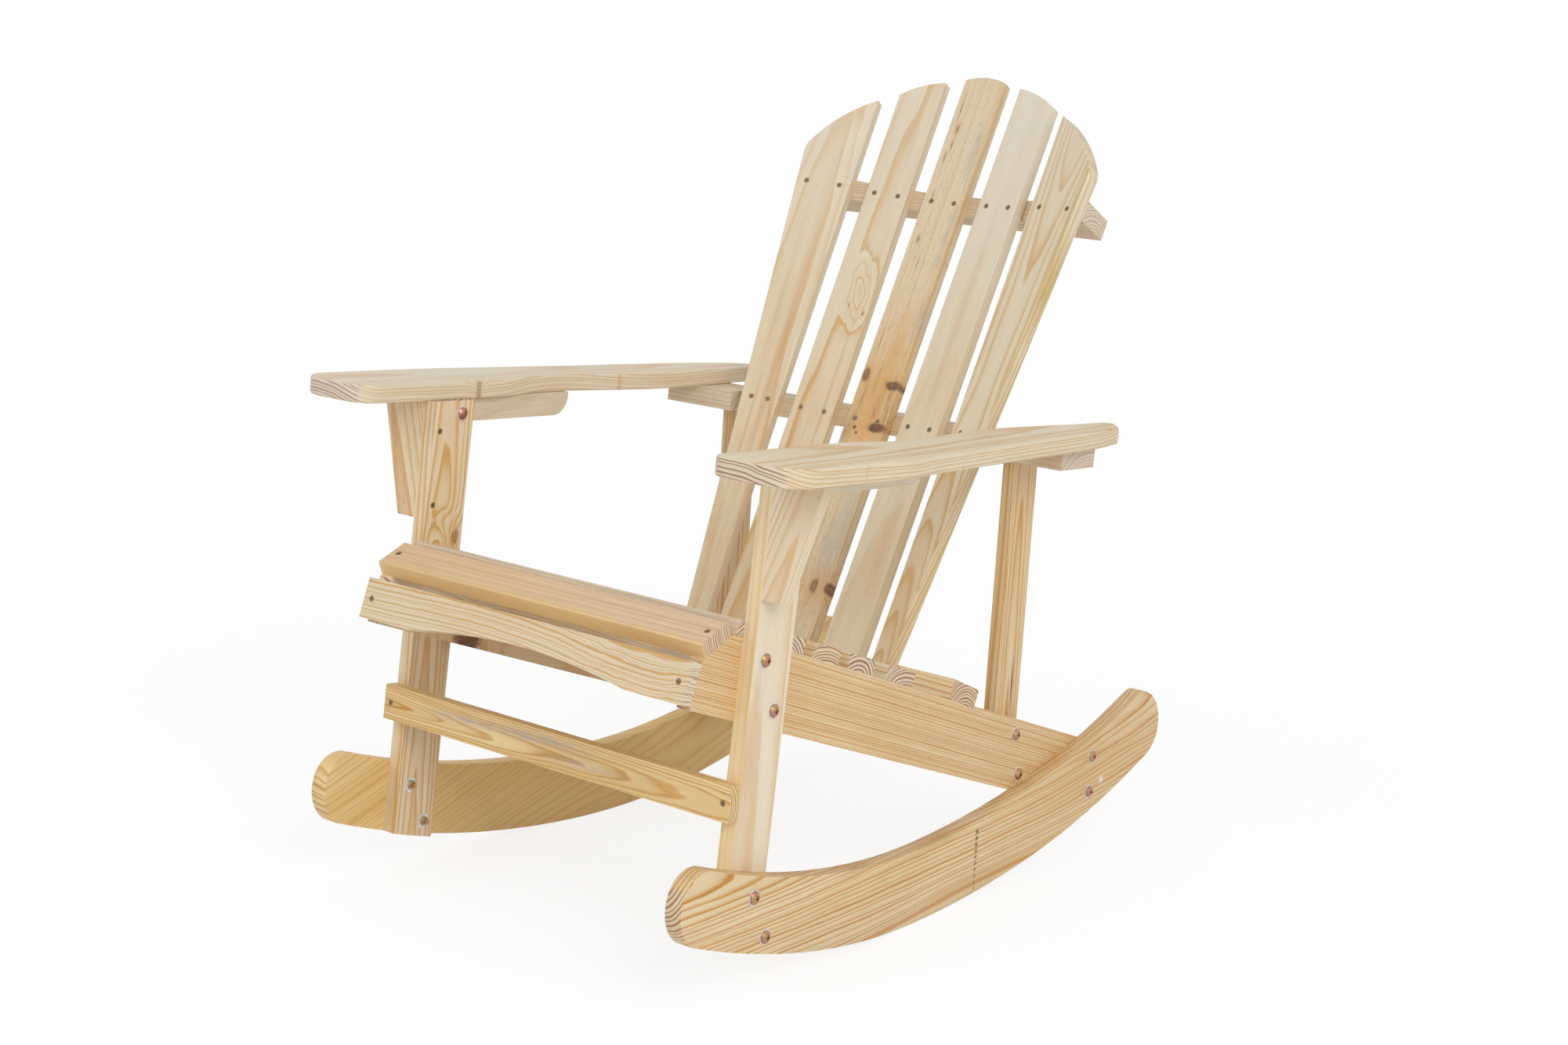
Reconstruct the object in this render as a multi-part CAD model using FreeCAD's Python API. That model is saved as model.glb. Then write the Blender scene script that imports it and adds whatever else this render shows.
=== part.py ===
import FreeCAD, Part
import math
import os

os.makedirs("parts", exist_ok=True)

V = FreeCAD.Vector

# A slatted garden chair on two curved rockers, in millimetres.
# It is drawn with its legs upright: +Z is up, the front faces -Y, and Y = 0 is the front face
# of the legs. Left is the sitter's left (+X). At the end the whole chair is laid back to the
# angle at which it rests on a flat floor.

# Side frames: leg, side rail, rear post and rocker board
side_half_width = 246.0      # from the middle of the chair to the outer face of a side rail
side_splay = 0.66            # degrees, each side frame opens towards the rear
splay_pivot_y = 33.0
leg_thickness = 18.0
leg_depth = 66.0
rail_thickness = 18.0
rail_width = 90.0
rail_slope = 14.04           # degrees, the seat falls towards the rear
rail_underside_height = 247.5    # above the leg's zero level, at Y = 0
rail_front_y = -77.8
rail_rear_y = 795.0
post_thickness = 18.0
post_width = 53.0
post_lean = 5.14             # degrees, the post's top stands forward
post_middle_y = 582.0
post_middle_z = 308.0

# Rocker boards: two arcs with rounded ends
rocker_thickness = 22.0
rocker_bottom_radius = 1348.4
rocker_bottom_low_y = 289.3
rocker_bottom_low_z = -32.9
rocker_top_radius = 1300.7
rocker_top_low_y = 264.1
rocker_top_low_z = 58.8
rocker_bend_start_y = 80.0   # between these two the board swings in from the leg to the rail
rocker_bend_end_y = 600.0
nose_y = -103.0
nose_top_run = 43.0
nose_bottom_run = 23.0
nose_top_bulge = 11.5
nose_bottom_bulge = 8.6
tail_y = 930.0
tail_height = 19.4           # of the rearmost point above the bottom arc
tail_shoulder_run = 38.0
tail_top_run = 68.0
tail_bottom_run = 22.0
tail_top_bulge = 3.6
tail_shoulder_bulge = 12.0
tail_bottom_bulge = 4.5

# Arms and what carries them
arm_underside_height = 526.4     # at Y = 0
arm_rise = 2.605             # degrees, the arms rise towards the rear
arm_thickness = 21.0
arm_inner_x = 8.0            # the arm's X values are measured from the outer face of the side rail
arm_outer_x = 123.5
arm_front_y = -111.0
arm_inner_straight_y = 80.0  # the edges run straight from the front to these two places
arm_outer_straight_y = 60.0
arm_front_inner_radius = 28.0
arm_front_outer_radius = 45.0
arm_edge_radius = 2.5
arm_inner_curve = ((8.5, 120.0), (26.0, 217.0), (14.0, 340.0), (7.0, 460.0), (23.0, 612.0))
arm_rear_inner = (26.0, 672.0)
arm_rear_outer = (44.0, 676.0)
arm_rear_bulge = 3.9
arm_outer_curve = ((67.0, 645.0), (79.0, 590.0), (92.0, 460.0), (103.0, 320.0), (118.0, 150.0))
bracket_thickness = 18.0
bracket_height = 141.8       # from the arm's underside to the bracket's flat bottom
bracket_foot = 27.0          # width of the bracket's flat bottom
bracket_head = 67.0          # width of the bracket at the arm's underside
arm_bar_thickness = 18.0
arm_bar_height = 29.0
arm_bar_rear_y = 256.0
arm_bar_corner_radius = 26.0
support_rail_overhang = 67.0     # past the outer faces of the side rails
support_rail_thickness = 26.0
support_rail_rear_y = 590.0
support_rail_depth = 78.0
support_rail_recess_gap = 13.1   # the hollow for the back slats ends this far outside them

# Seat
apron_thickness = 16.0
apron_height = 48.0
apron_top_drop = 4.0         # below the top front corner of the side rails
apron_arch_half_span = 165.0
apron_arch_rise = 15.4
footrest_thickness = 16.0
footrest_height = 42.0
footrest_bottom_z = 140.0
footrest_overhang = 2.0      # past the outer faces of the legs
front_slat_width = 46.0
front_slat_thickness = 18.0
front_slat_tilt = 27.3
front_slat_y = -61.1         # of its lower front edge
front_slat_drop = 33.65      # of that edge below the line of the side rails' tops
seat_slat_thickness = 18.0
seat_slat_width = 54.5
last_seat_slat_width = 61.0
seat_slat_front_y = (-12.0, 59.0, 130.0, 201.0, 280.0)
seat_edge_radius = 2.0

# Back: five flat slats set on a hollow curve
back_recline = 21.7          # degrees from upright
back_y = 533.7               # the middle slat's front face crosses this point
back_z = 528.0
back_slat_thickness = 17.0
back_slat_width = 62.0
back_station = 308.0         # the slats are spaced at zero and at this distance up the back
back_hollow_radius = 823.0
back_hollow_radius_upper = 711.0
inner_slat_pitch = 84.7
inner_slat_pitch_upper = 88.0
outer_slat_pitch = 164.4
outer_slat_pitch_upper = 181.3
outer_slat_width = 53.0
outer_slat_width_upper = 77.3
back_foot = -314.0           # the slats' lower ends, measured along the back
middle_slat_top = 506.0      # of each slat's highest corner, measured along the back
middle_slat_crown = 5.5      # how far the arc of the top stands off its chord
inner_slat_top = 498.0
inner_slat_fall = 25.0       # from the highest corner down to the outer one
inner_slat_crown = 4.0
outer_slat_top = 456.0
outer_slat_fall = 65.0
outer_slat_crown = 6.5
outer_slat_shoulder_drop = 25.0      # from the outer corner down to the end of its rounding
outer_slat_shoulder_inset = 9.0
outer_slat_shoulder_bulge = 2.8
back_edge_radius = 1.5
upper_rail_overhang = 2.75   # past the outer slats
upper_rail_height = 27.5
upper_rail_station = 317.7   # of the rail's lower face, measured along the back
upper_rail_depth = 46.7      # from the middle slat's front face to the rail's back face
lower_rail_rear_y = 482.5
lower_rail_notch = 4.2       # its rear lower edge lies this far below the side rails' tops
lower_rail_tilt = 18.4
lower_rail_thickness = 24.5
lower_rail_lip = 12.0        # the ends stand this far in front of the middle slat's back face

# Bolts, washers and nuts
bolt_diameter = 6.0
bolt_hole_clearance = 0.5
bolt_head_diameter = 15.5
bolt_head_height = 4.6
bolt_head_rim = 1.15
washer_diameter = 18.5
washer_thickness = 1.4
nut_across_flats = 10.0
nut_height = 5.0
bolt_end = 2.5               # how far a bolt stands out of its nut
arm_bar_bolt_grip = 12.0     # length of the bolt inside the under-arm bar
recess_width = 1.5
recess_length = 6.4
recess_depth = 2.2
rocker_front_bolts = ((20.0, 24.0), (48.0, 20.0))    # Y, then drop from the top, rise from the bottom
rocker_rear_bolts = ((40.0, 24.0), (36.0, 31.0))     # the same, Y forward from the rail's rear end
leg_rail_bolts = ((19.5, 18.0), (44.5, 23.0))
rail_post_bolts = ((-4.2, 20.0), (9.0, 23.5))        # the same, Y from the post's middle line
arm_bar_bolt_y = 46.0
arm_bar_bolt_drop = 15.5

# Wood screws
screw_head_diameter = 7.6
screw_head_height = 2.6
screw_diameter = 4.0
screw_length = 38.0
back_screw_length = 30.0
screw_tip = 5.0
screw_clearance = 0.05
screw_recess_width = 0.9
screw_recess_length = 3.8
screw_recess_depth = 1.4
screw_sink = 0.3             # the heads lie this far below the face
back_screw_edge = 13.0       # from a slat's edge to the screws
outer_back_screw_edge = 15.0
foot_screw_rise = 13.0       # of the lowest row above the slats' lower ends
support_screw_drop = 9.7     # of the middle row below the line of the arms' undersides
upper_screw_rise = 9.3       # of the top row above the upper rail's lower face
front_slat_screw_inset = 12.0    # from the outer faces of the side rails
apron_screw_inset = 13.3
footrest_screw_inset = 8.0   # from the outer face of the leg
bracket_screw_y = 12.0
bracket_screw_rise = 17.0    # above the bracket's bottom
bracket_screw_drop = 35.8    # below the arm
bracket_screw_length = 32.0
footrest_screw_length = 34.0

# Mass per volume, kg per cubic millimetre, for finding the resting angle
pine_density = 5.1e-7
steel_density = 7.85e-6

# Working limits: a length larger than the chair, and how far a cutting tool passes a face
FAR = 1500.0
OVERCUT = 1.0


def tan(angle):
    return math.tan(math.radians(angle))


def cos(angle):
    return math.cos(math.radians(angle))


def sin(angle):
    return math.sin(math.radians(angle))


def polygon_prism(points, sweep):
    wire = Part.makePolygon(list(points) + [points[0]])
    return Part.Face(wire).extrude(sweep)


def side_prism(points, x0=-FAR, x1=FAR):
    # a (Y, Z) outline drawn out along X
    return polygon_prism([V(x0, y, z) for y, z in points], V(x1 - x0, 0, 0))


def plan_prism(points, z0=-FAR, z1=FAR):
    # an (X, Y) outline drawn out upwards
    return polygon_prism([V(x, y, z0) for x, y in points], V(0, 0, z1 - z0))


def edge_prism(edges, sweep):
    return Part.Face(Part.Wire(edges)).extrude(sweep)


def line(p, q):
    return Part.makeLine(p, q)


def arc(p, m, q):
    return Part.Arc(p, m, q).toShape()


def bulged(p, q, bulge, across):
    # an arc from p to q that stands off its chord towards (q - p) x across
    off = (q - p).cross(across)
    off.normalize()
    return arc(p, (p + q) * 0.5 + off * bulge, q)


def mirrored(shape):
    return shape.mirror(V(0, 0, 0), V(1, 0, 0))


def moved(shape, offset):
    out = shape.copy()
    out.translate(offset)
    return out


def framed(shape, origin, along, facing):
    # takes a shape drawn at zero with +Z facing out and +Y along, to its place
    side = along.cross(facing)
    out = shape.copy()
    matrix = FreeCAD.Matrix(side.x, along.x, facing.x, origin.x,
                            side.y, along.y, facing.y, origin.y,
                            side.z, along.z, facing.z, origin.z,
                            0, 0, 0, 1)
    out.transformShape(matrix)
    return out


def splayed(shape):
    out = shape.copy()
    out.rotate(V(side_half_width, splay_pivot_y, 0), V(0, 0, 1), -side_splay)
    return out


def side_band(x_inner, x_outer):
    # the slice of space that one board of the left side frame may fill
    return splayed(plan_prism([(x_inner, -FAR), (x_outer, -FAR), (x_outer, FAR), (x_inner, FAR)]))


def splay_x(x, y):
    return x + tan(side_splay) * (y - splay_pivot_y)


def between_sides(shape):
    # trims a cross member at the outer faces of the two side rails
    front = splay_x(side_half_width, -FAR)
    rear = splay_x(side_half_width, FAR)
    return shape.common(plan_prism([(-front, -FAR), (front, -FAR), (rear, FAR), (-rear, FAR)]))


# Faces of the side frame, before the splay
leg_outer_x = side_half_width + leg_thickness
rail_inner_x = side_half_width - rail_thickness
post_inner_x = rail_inner_x - post_thickness
arm_bar_outer_x = leg_outer_x + arm_bar_thickness

# The two outermost back slats, and the outer edges of the slats at both stations
OUTER_SLATS = (0, 4)
slats_edge = outer_slat_pitch + outer_slat_width / 2
slats_edge_upper = outer_slat_pitch_upper + outer_slat_width_upper / 2


def rail_underside(y):
    return rail_underside_height - tan(rail_slope) * y


def rail_top(y):
    return rail_underside(y) + rail_width / cos(rail_slope)


def arm_underside(y):
    return arm_underside_height + tan(arm_rise) * y


rocker_bottom_center = V(0, rocker_bottom_low_y, rocker_bottom_low_z + rocker_bottom_radius)
rocker_top_center = V(0, rocker_top_low_y, rocker_top_low_z + rocker_top_radius)


def rocker_underside(y):
    reach = y - rocker_bottom_low_y
    return rocker_bottom_center.z - math.sqrt(rocker_bottom_radius ** 2 - reach ** 2)


def rocker_topside(y):
    reach = y - rocker_top_low_y
    return rocker_top_center.z - math.sqrt(rocker_top_radius ** 2 - reach ** 2)


def above_floor_curve():
    # everything above the rocker's bottom arc
    start = rocker_bottom_center - V(FAR, 0, 0)
    return Part.makeCylinder(rocker_bottom_radius, 2 * FAR, start, V(1, 0, 0))


def below_arms():
    return side_prism([(-FAR, -FAR), (FAR, -FAR), (FAR, arm_underside(FAR)), (-FAR, arm_underside(-FAR))])


# Side frame
def leg():
    block = side_prism([(0, -FAR), (leg_depth, -FAR), (leg_depth, FAR), (0, FAR)])
    board = block.common(side_band(side_half_width, leg_outer_x))
    return board.common(above_floor_curve()).common(below_arms())


def meeting(p, p_slope, q, q_slope):
    # where two lines in the side view cross
    y = (q[1] - p[1] + p_slope * p[0] - q_slope * q[0]) / (p_slope - q_slope)
    return (y, p[1] + p_slope * (y - p[0]))


front_slat_edge = (front_slat_y, rail_top(front_slat_y) - front_slat_drop)


def rail_front_corner():
    end_slope = 1.0 / tan(rail_slope)
    foot = (rail_front_y, rail_underside(rail_front_y))
    return meeting(foot, end_slope, front_slat_edge, tan(front_slat_tilt))


def side_rail():
    seat_cut = meeting((0, rail_top(0)), -tan(rail_slope), front_slat_edge, tan(front_slat_tilt))
    rear_foot = rail_rear_y - rail_width * sin(rail_slope)
    outline = [(rail_front_y, rail_underside(rail_front_y)), rail_front_corner(), seat_cut,
               (rail_rear_y, rail_top(rail_rear_y)), (rear_foot, rail_underside(rear_foot))]
    board = side_prism(outline).common(side_band(rail_inner_x, side_half_width))
    return board.common(above_floor_curve()).cut(lower_rail_blank())


def support_underside(y):
    return arm_underside(y) - support_rail_thickness / cos(arm_rise)


def post_line(z):
    # Y of the post's middle line at a height
    return post_middle_y - tan(post_lean) * (z - post_middle_z)


def post():
    half = post_width / cos(post_lean) / 2
    low, high = post_line(-FAR), post_line(FAR)
    board = side_prism([(low - half, -FAR), (low + half, -FAR), (high + half, FAR), (high - half, FAR)])
    front, rear = post_middle_y - 2 * post_width, post_middle_y + 2 * post_width
    window = side_prism([(front, rail_underside(front)), (rear, rail_underside(rear)),
                         (rear, support_underside(rear)), (front, support_underside(front))])
    return board.common(window).common(side_band(post_inner_x, rail_inner_x))


def rocker_profile():
    # side view of the rocker board, drawn out along X
    across = V(1, 0, 0)

    def top(y):
        return V(-FAR, y, rocker_topside(y))

    def bottom(y):
        return V(-FAR, y, rocker_underside(y))

    nose_z = (rocker_topside(nose_y) + rocker_underside(nose_y)) / 2
    nose = V(-FAR, nose_y, nose_z)
    tail = V(-FAR, tail_y, rocker_underside(tail_y) + tail_height)
    front_top, front_bottom = top(nose_y + nose_top_run), bottom(nose_y + nose_bottom_run)
    rear_top, rear_bottom = top(tail_y - tail_top_run), bottom(tail_y - tail_bottom_run)
    shoulder = V(-FAR, tail_y - tail_shoulder_run, rear_top.z)
    edges = [arc(front_top, top(rocker_top_low_y), rear_top),
             bulged(rear_top, shoulder, -tail_top_bulge, across),
             bulged(shoulder, tail, -tail_shoulder_bulge, across),
             bulged(tail, rear_bottom, -tail_bottom_bulge, across),
             arc(rear_bottom, bottom(rocker_bottom_low_y), front_bottom),
             bulged(front_bottom, nose, -nose_bottom_bulge, across),
             bulged(nose, front_top, -nose_top_bulge, across)]
    return edge_prism(edges, V(2 * FAR, 0, 0))


def rocker_band():
    # plan view of the bent rocker board: straight beside the leg, an S bend, straight beside the rail
    shift = leg_thickness
    y0, y1 = rocker_bend_start_y, rocker_bend_end_y
    radius = ((y1 - y0) ** 2 + shift ** 2) / (4 * shift)
    half = math.asin((y1 - y0) / 2 / radius)

    def bend(x, r1, r2):
        # the face that starts at x: first an arc about a point far inside, then one about a point far outside
        first = V(x - r1, y0, -FAR)
        second = V(x - shift + r2, y1, -FAR)
        a, b = V(x, y0, -FAR), V(x - shift, y1, -FAR)
        middle = first + V(r1 * math.cos(half), r1 * math.sin(half), 0)
        m1 = first + V(r1 * math.cos(half / 2), r1 * math.sin(half / 2), 0)
        m2 = second - V(r2 * math.cos(half / 2), r2 * math.sin(half / 2), 0)
        return a, b, arc(a, m1, middle), arc(middle, m2, b)

    inner_x, outer_x = leg_outer_x, leg_outer_x + rocker_thickness
    ia, ib, i1, i2 = bend(inner_x, radius, radius)
    oa, ob, o1, o2 = bend(outer_x, radius + rocker_thickness, radius - rocker_thickness)
    i0, o0 = V(inner_x, -FAR, -FAR), V(outer_x, -FAR, -FAR)
    i3, o3 = V(inner_x - shift, FAR, -FAR), V(outer_x - shift, FAR, -FAR)
    edges = [line(i0, ia), i1, i2, line(ib, i3), line(i3, o3),
             line(o3, ob), o2, o1, line(oa, o0), line(o0, i0)]
    return splayed(edge_prism(edges, V(0, 0, 2 * FAR)))


def rocker():
    return rocker_profile().common(rocker_band())


# Arms
def arm_plane(shape):
    # tips a shape drawn flat at zero height into the plane of the arms' undersides
    out = shape.copy()
    out.rotate(V(0, 0, 0), V(1, 0, 0), arm_rise)
    return moved(out, V(0, 0, arm_underside_height))


def spline(points, start_tangent, end_tangent):
    curve = Part.BSplineCurve()
    curve.interpolate(Points=points, InitialTangent=start_tangent, FinalTangent=end_tangent)
    return curve.toShape()


def corner_mid(center, radius, angle):
    return center + V(radius * cos(angle), radius * sin(angle), 0)


def arm_point(x, y):
    return V(side_half_width + x, y, 0)


def arm():
    ri, ro = arm_front_inner_radius, arm_front_outer_radius
    xi, xo, yf = arm_inner_x, arm_outer_x, arm_front_y
    ci, co = arm_point(xi + ri, yf + ri), arm_point(xo - ro, yf + ro)
    inner = [arm_point(x, y) for x, y in ((xi, arm_inner_straight_y), *arm_inner_curve, arm_rear_inner)]
    outer = [arm_point(x, y) for x, y in (*arm_outer_curve, (xo, arm_outer_straight_y))]
    rear_outer = arm_point(*arm_rear_outer)
    inner_front, outer_front = arm_point(xi, yf + ri), arm_point(xo, yf + ro)
    front_inner, front_outer = arm_point(xi + ri, yf), arm_point(xo - ro, yf)
    edges = [line(inner_front, inner[0]),
             spline(inner, V(0, 1, 0), inner[-1] - inner[-2]),
             bulged(inner[-1], rear_outer, -arm_rear_bulge, V(0, 0, 1)),
             line(rear_outer, outer[0]),
             spline(outer, outer[1] - outer[0], V(0, -1, 0)),
             line(outer[-1], outer_front),
             arc(outer_front, corner_mid(co, ro, -45), front_outer),
             line(front_outer, front_inner),
             arc(front_inner, corner_mid(ci, ri, 225), inner_front)]
    board = edge_prism(edges, V(0, 0, arm_thickness))
    rims = [e for e in board.Edges if abs(e.BoundBox.ZLength) < arm_thickness / 2]
    return arm_plane(board.makeFillet(arm_edge_radius, rims))


bracket_head_z = arm_underside(bracket_thickness / 2)
bracket_bottom_z = bracket_head_z - bracket_height


def arm_bracket():
    # the slanting edge is drawn on above the arm and cut off there
    x0, x1 = leg_outer_x - leg_thickness / 2, leg_outer_x + bracket_foot
    slant = (bracket_head - bracket_foot) / bracket_height
    x2 = x1 + slant * (FAR - bracket_bottom_z)
    outline = [V(x0, 0, bracket_bottom_z), V(x1, 0, bracket_bottom_z), V(x2, 0, FAR), V(x0, 0, FAR)]
    board = polygon_prism(outline, V(0, bracket_thickness, 0))
    return board.common(side_band(leg_outer_x, FAR)).common(below_arms())


def arm_bar():
    y0, y1, r = bracket_thickness, arm_bar_rear_y, arm_bar_corner_radius
    z0 = -arm_bar_height
    corner = V(-FAR, y1 - r, z0 + r)
    edges = [line(V(-FAR, y0, 0), V(-FAR, y0, z0)),
             line(V(-FAR, y0, z0), V(-FAR, y1 - r, z0)),
             arc(V(-FAR, y1 - r, z0), corner + V(0, r * cos(45), -r * cos(45)), V(-FAR, y1, z0 + r)),
             line(V(-FAR, y1, z0 + r), V(-FAR, y1, 0)),
             line(V(-FAR, y1, 0), V(-FAR, y0, 0))]
    bar = arm_plane(edge_prism(edges, V(2 * FAR, 0, 0))).common(side_band(leg_outer_x, arm_bar_outer_x))
    ahead = side_prism([(-FAR, -FAR), (bracket_thickness, -FAR), (bracket_thickness, FAR), (-FAR, FAR)])
    return bar.cut(ahead)


def arm_support_rail():
    x, y1 = side_half_width + support_rail_overhang, support_rail_rear_y
    y0 = y1 - support_rail_depth
    board = plan_prism([(-x, y0), (x, y0), (x, y1), (-x, y1)], -support_rail_thickness, 0)
    w = slats_edge + support_rail_recess_gap
    recess = sitting_side().common(plan_prism([(-w, -FAR), (w, -FAR), (w, FAR), (-w, FAR)]))
    return arm_plane(board).cut(recess)


# Seat
def apron():
    corner = rail_front_corner()
    out = V(0, -cos(rail_slope), sin(rail_slope))
    up = V(0, sin(rail_slope), cos(rail_slope))
    top = V(0, corner[0], corner[1]) - up * apron_top_drop
    x, s, h = side_half_width, apron_arch_half_span, apron_height

    def at(px, drop):
        return top + V(px, 0, 0) - up * drop

    edges = [line(at(-x, 0), at(x, 0)), line(at(x, 0), at(x, h)), line(at(x, h), at(s, h)),
             arc(at(s, h), at(0, h - apron_arch_rise), at(-s, h)),
             line(at(-s, h), at(-x, h)), line(at(-x, h), at(-x, 0))]
    return between_sides(edge_prism(edges, out * apron_thickness))


def footrest_bar():
    x, y, z = leg_outer_x + footrest_overhang, -footrest_thickness, footrest_bottom_z
    return plan_prism([(-x, y), (x, y), (x, 0), (-x, 0)], z, z + footrest_height)


def rounded_slat(width, thickness):
    # a board along X with its front lower edge at zero, its two upper long edges rounded
    x = side_half_width + leg_thickness
    board = Part.makeBox(2 * x, width, thickness, V(-x, 0, 0))
    edges = [e for e in board.Edges if e.BoundBox.ZMin > thickness / 2 and e.BoundBox.XLength > width]
    return board.makeFillet(seat_edge_radius, edges)


def front_slat():
    slat = rounded_slat(front_slat_width, front_slat_thickness)
    slat.rotate(V(0, 0, 0), V(1, 0, 0), front_slat_tilt)
    return between_sides(moved(slat, V(0, *front_slat_edge)))


def seat_slat(index):
    width = last_seat_slat_width if index == len(seat_slat_front_y) - 1 else seat_slat_width
    y = seat_slat_front_y[index]
    slat = rounded_slat(width, seat_slat_thickness)
    slat.rotate(V(0, 0, 0), V(1, 0, 0), -rail_slope)
    return between_sides(moved(slat, V(0, y, rail_top(y))))


# Back
up_back = V(0, sin(back_recline), cos(back_recline))
out_back = V(0, -cos(back_recline), sin(back_recline))
back_origin = V(0, back_y, back_z)


def hollow_depth(x, radius):
    return radius - math.sqrt(radius ** 2 - x ** 2)


class SlatFrame:
    # one slat's own directions: along its length, across it, and out of its front face
    def __init__(self, x_low, x_high):
        r0, r1 = back_hollow_radius, back_hollow_radius_upper
        low = back_origin + V(x_low, 0, 0) + out_back * hollow_depth(x_low, r0)
        high = back_origin + V(x_high, 0, 0) + out_back * hollow_depth(x_high, r1) + up_back * back_station
        self.origin = low
        self.along = (high - low).normalize()
        turn = (math.asin(x_low / r0) + math.asin(x_high / r1)) / 2
        across = V(1, 0, 0) * math.cos(turn) + out_back * math.sin(turn)
        across = across - self.along * across.dot(self.along)
        self.across = across.normalize()
        self.facing = self.across.cross(self.along)

    def point(self, w, s, depth=0.0):
        return self.origin + self.across * w + self.along * s - self.facing * depth


def slat_frames():
    inner = (inner_slat_pitch, inner_slat_pitch_upper)
    outer = (outer_slat_pitch, outer_slat_pitch_upper)
    places = [(-1, outer), (-1, inner), (0, inner), (1, inner), (1, outer)]
    return [SlatFrame(side * low, side * high) for side, (low, high) in places]


def slat_half_width(index, s):
    if index in OUTER_SLATS:
        return (outer_slat_width + (outer_slat_width_upper - outer_slat_width) * s / back_station) / 2
    return back_slat_width / 2


def slat_top(index):
    # the highest corner, the fall to the other corner, and the bulge of the arc between them
    if index == len(frames) // 2:
        return middle_slat_top, 0.0, middle_slat_crown
    if index in OUTER_SLATS:
        return outer_slat_top, outer_slat_fall, outer_slat_crown
    return inner_slat_top, inner_slat_fall, inner_slat_crown


def slat_outline(index):
    # edges of a slat's front face, drawn flat; the outer slats have a rounded shoulder
    outward = 1 if index > len(frames) // 2 else -1
    top, fall, crown = slat_top(index)

    def at(s, side, inset=0.0):
        return V(side * outward * (slat_half_width(index, s) - inset), s, 0)

    high, inner_foot, outer_foot = at(top, -1), at(back_foot, -1), at(back_foot, 1)
    if index not in OUTER_SLATS:
        low = at(top - fall, 1)
        return [line(inner_foot, high), bulged(high, low, -outward * crown, V(0, 0, 1)),
                line(low, outer_foot), line(outer_foot, inner_foot)]
    low = at(top - fall, 1, outer_slat_shoulder_inset)
    shoulder = at(top - fall - outer_slat_shoulder_drop, 1)
    return [line(inner_foot, high), bulged(high, low, -outward * crown, V(0, 0, 1)),
            bulged(low, shoulder, -outward * outer_slat_shoulder_bulge, V(0, 0, 1)),
            line(shoulder, outer_foot), line(outer_foot, inner_foot)]


def back_slat(index):
    # drawn flat with its face up and its edges eased, except at the foot, then carried to its frame
    frame = frames[index]
    board = edge_prism(slat_outline(index), V(0, 0, -back_slat_thickness))
    rims = [e for e in board.Edges
            if e.BoundBox.ZMin > -back_slat_thickness / 2 and e.BoundBox.YLength > back_edge_radius]
    board = board.makeFillet(back_edge_radius, rims)
    return framed(board, frame.origin, frame.along, frame.facing)


def ahead_of(origin, facing, along):
    # a large block whose back face lies in the given plane
    block = Part.makeBox(2 * FAR, 2 * FAR, FAR, V(-FAR, -FAR, 0))
    return framed(block, origin, along, facing)


def sitting_side():
    # the space in front of the slats' back faces; cutting it leaves a flat seat for every slat
    space = None
    for frame in frames:
        block = ahead_of(frame.point(0, 0, back_slat_thickness), frame.facing, frame.along)
        space = block if space is None else space.common(block)
    return space


def lower_rail_blank():
    forward = V(0, -cos(lower_rail_tilt), sin(lower_rail_tilt))
    up = V(0, sin(lower_rail_tilt), cos(lower_rail_tilt))
    rear = V(0, lower_rail_rear_y, rail_top(lower_rail_rear_y) - lower_rail_notch)
    front = rear + forward * (FAR / 4)
    rise = up * lower_rail_thickness
    corners = [rear, front, front + rise, rear + rise]
    board = side_prism([(p.y, p.z) for p in corners])
    face = back_origin - out_back * (back_slat_thickness - lower_rail_lip)
    return board.cut(ahead_of(face, out_back, up_back))


def lower_back_rail():
    return between_sides(lower_rail_blank().cut(sitting_side()))


def upper_back_rail():
    x = slats_edge_upper + upper_rail_overhang
    foot = back_origin + up_back * upper_rail_station - out_back * upper_rail_depth
    board = Part.makeBox(2 * x, upper_rail_height, FAR / 4, V(-x, 0, 0))
    return framed(board, foot, up_back, out_back).cut(sitting_side())


# Fasteners, all drawn along Z with the head on top and its underside at zero
def cross_recess(width, length, depth, top):
    first = Part.makeBox(width, length, depth, V(-width / 2, -length / 2, top - depth))
    second = Part.makeBox(length, width, depth, V(-length / 2, -width / 2, top - depth))
    return first.fuse(second)


def dome(diameter, height):
    r = diameter / 2
    rise = height - bolt_head_rim
    sphere_r = (r ** 2 + rise ** 2) / (2 * rise)
    ball = Part.makeSphere(sphere_r, V(0, 0, height - sphere_r))
    return ball.common(Part.makeCylinder(r, height))


def bolt(length):
    head = dome(bolt_head_diameter, bolt_head_height)
    shank = Part.makeCylinder(bolt_diameter / 2, length, V(0, 0, -length))
    tool = cross_recess(recess_width, recess_length, recess_depth + OVERCUT, bolt_head_height + OVERCUT)
    return head.fuse(shank).removeSplitter().cut(tool)


def washer():
    ring = Part.makeCylinder(washer_diameter / 2, washer_thickness)
    return ring.cut(Part.makeCylinder((bolt_diameter + bolt_hole_clearance) / 2, washer_thickness))


def nut():
    r = nut_across_flats / 2 / cos(30)
    points = [V(r * cos(60 * i), r * sin(60 * i), 0) for i in range(6)]
    return polygon_prism(points, V(0, 0, nut_height)).cut(Part.makeCylinder(bolt_diameter / 2, nut_height))


def bolt_hole(depth):
    # from above the face at zero down to the depth
    return Part.makeCylinder((bolt_diameter + bolt_hole_clearance) / 2, depth + OVERCUT, V(0, 0, -depth))


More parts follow.
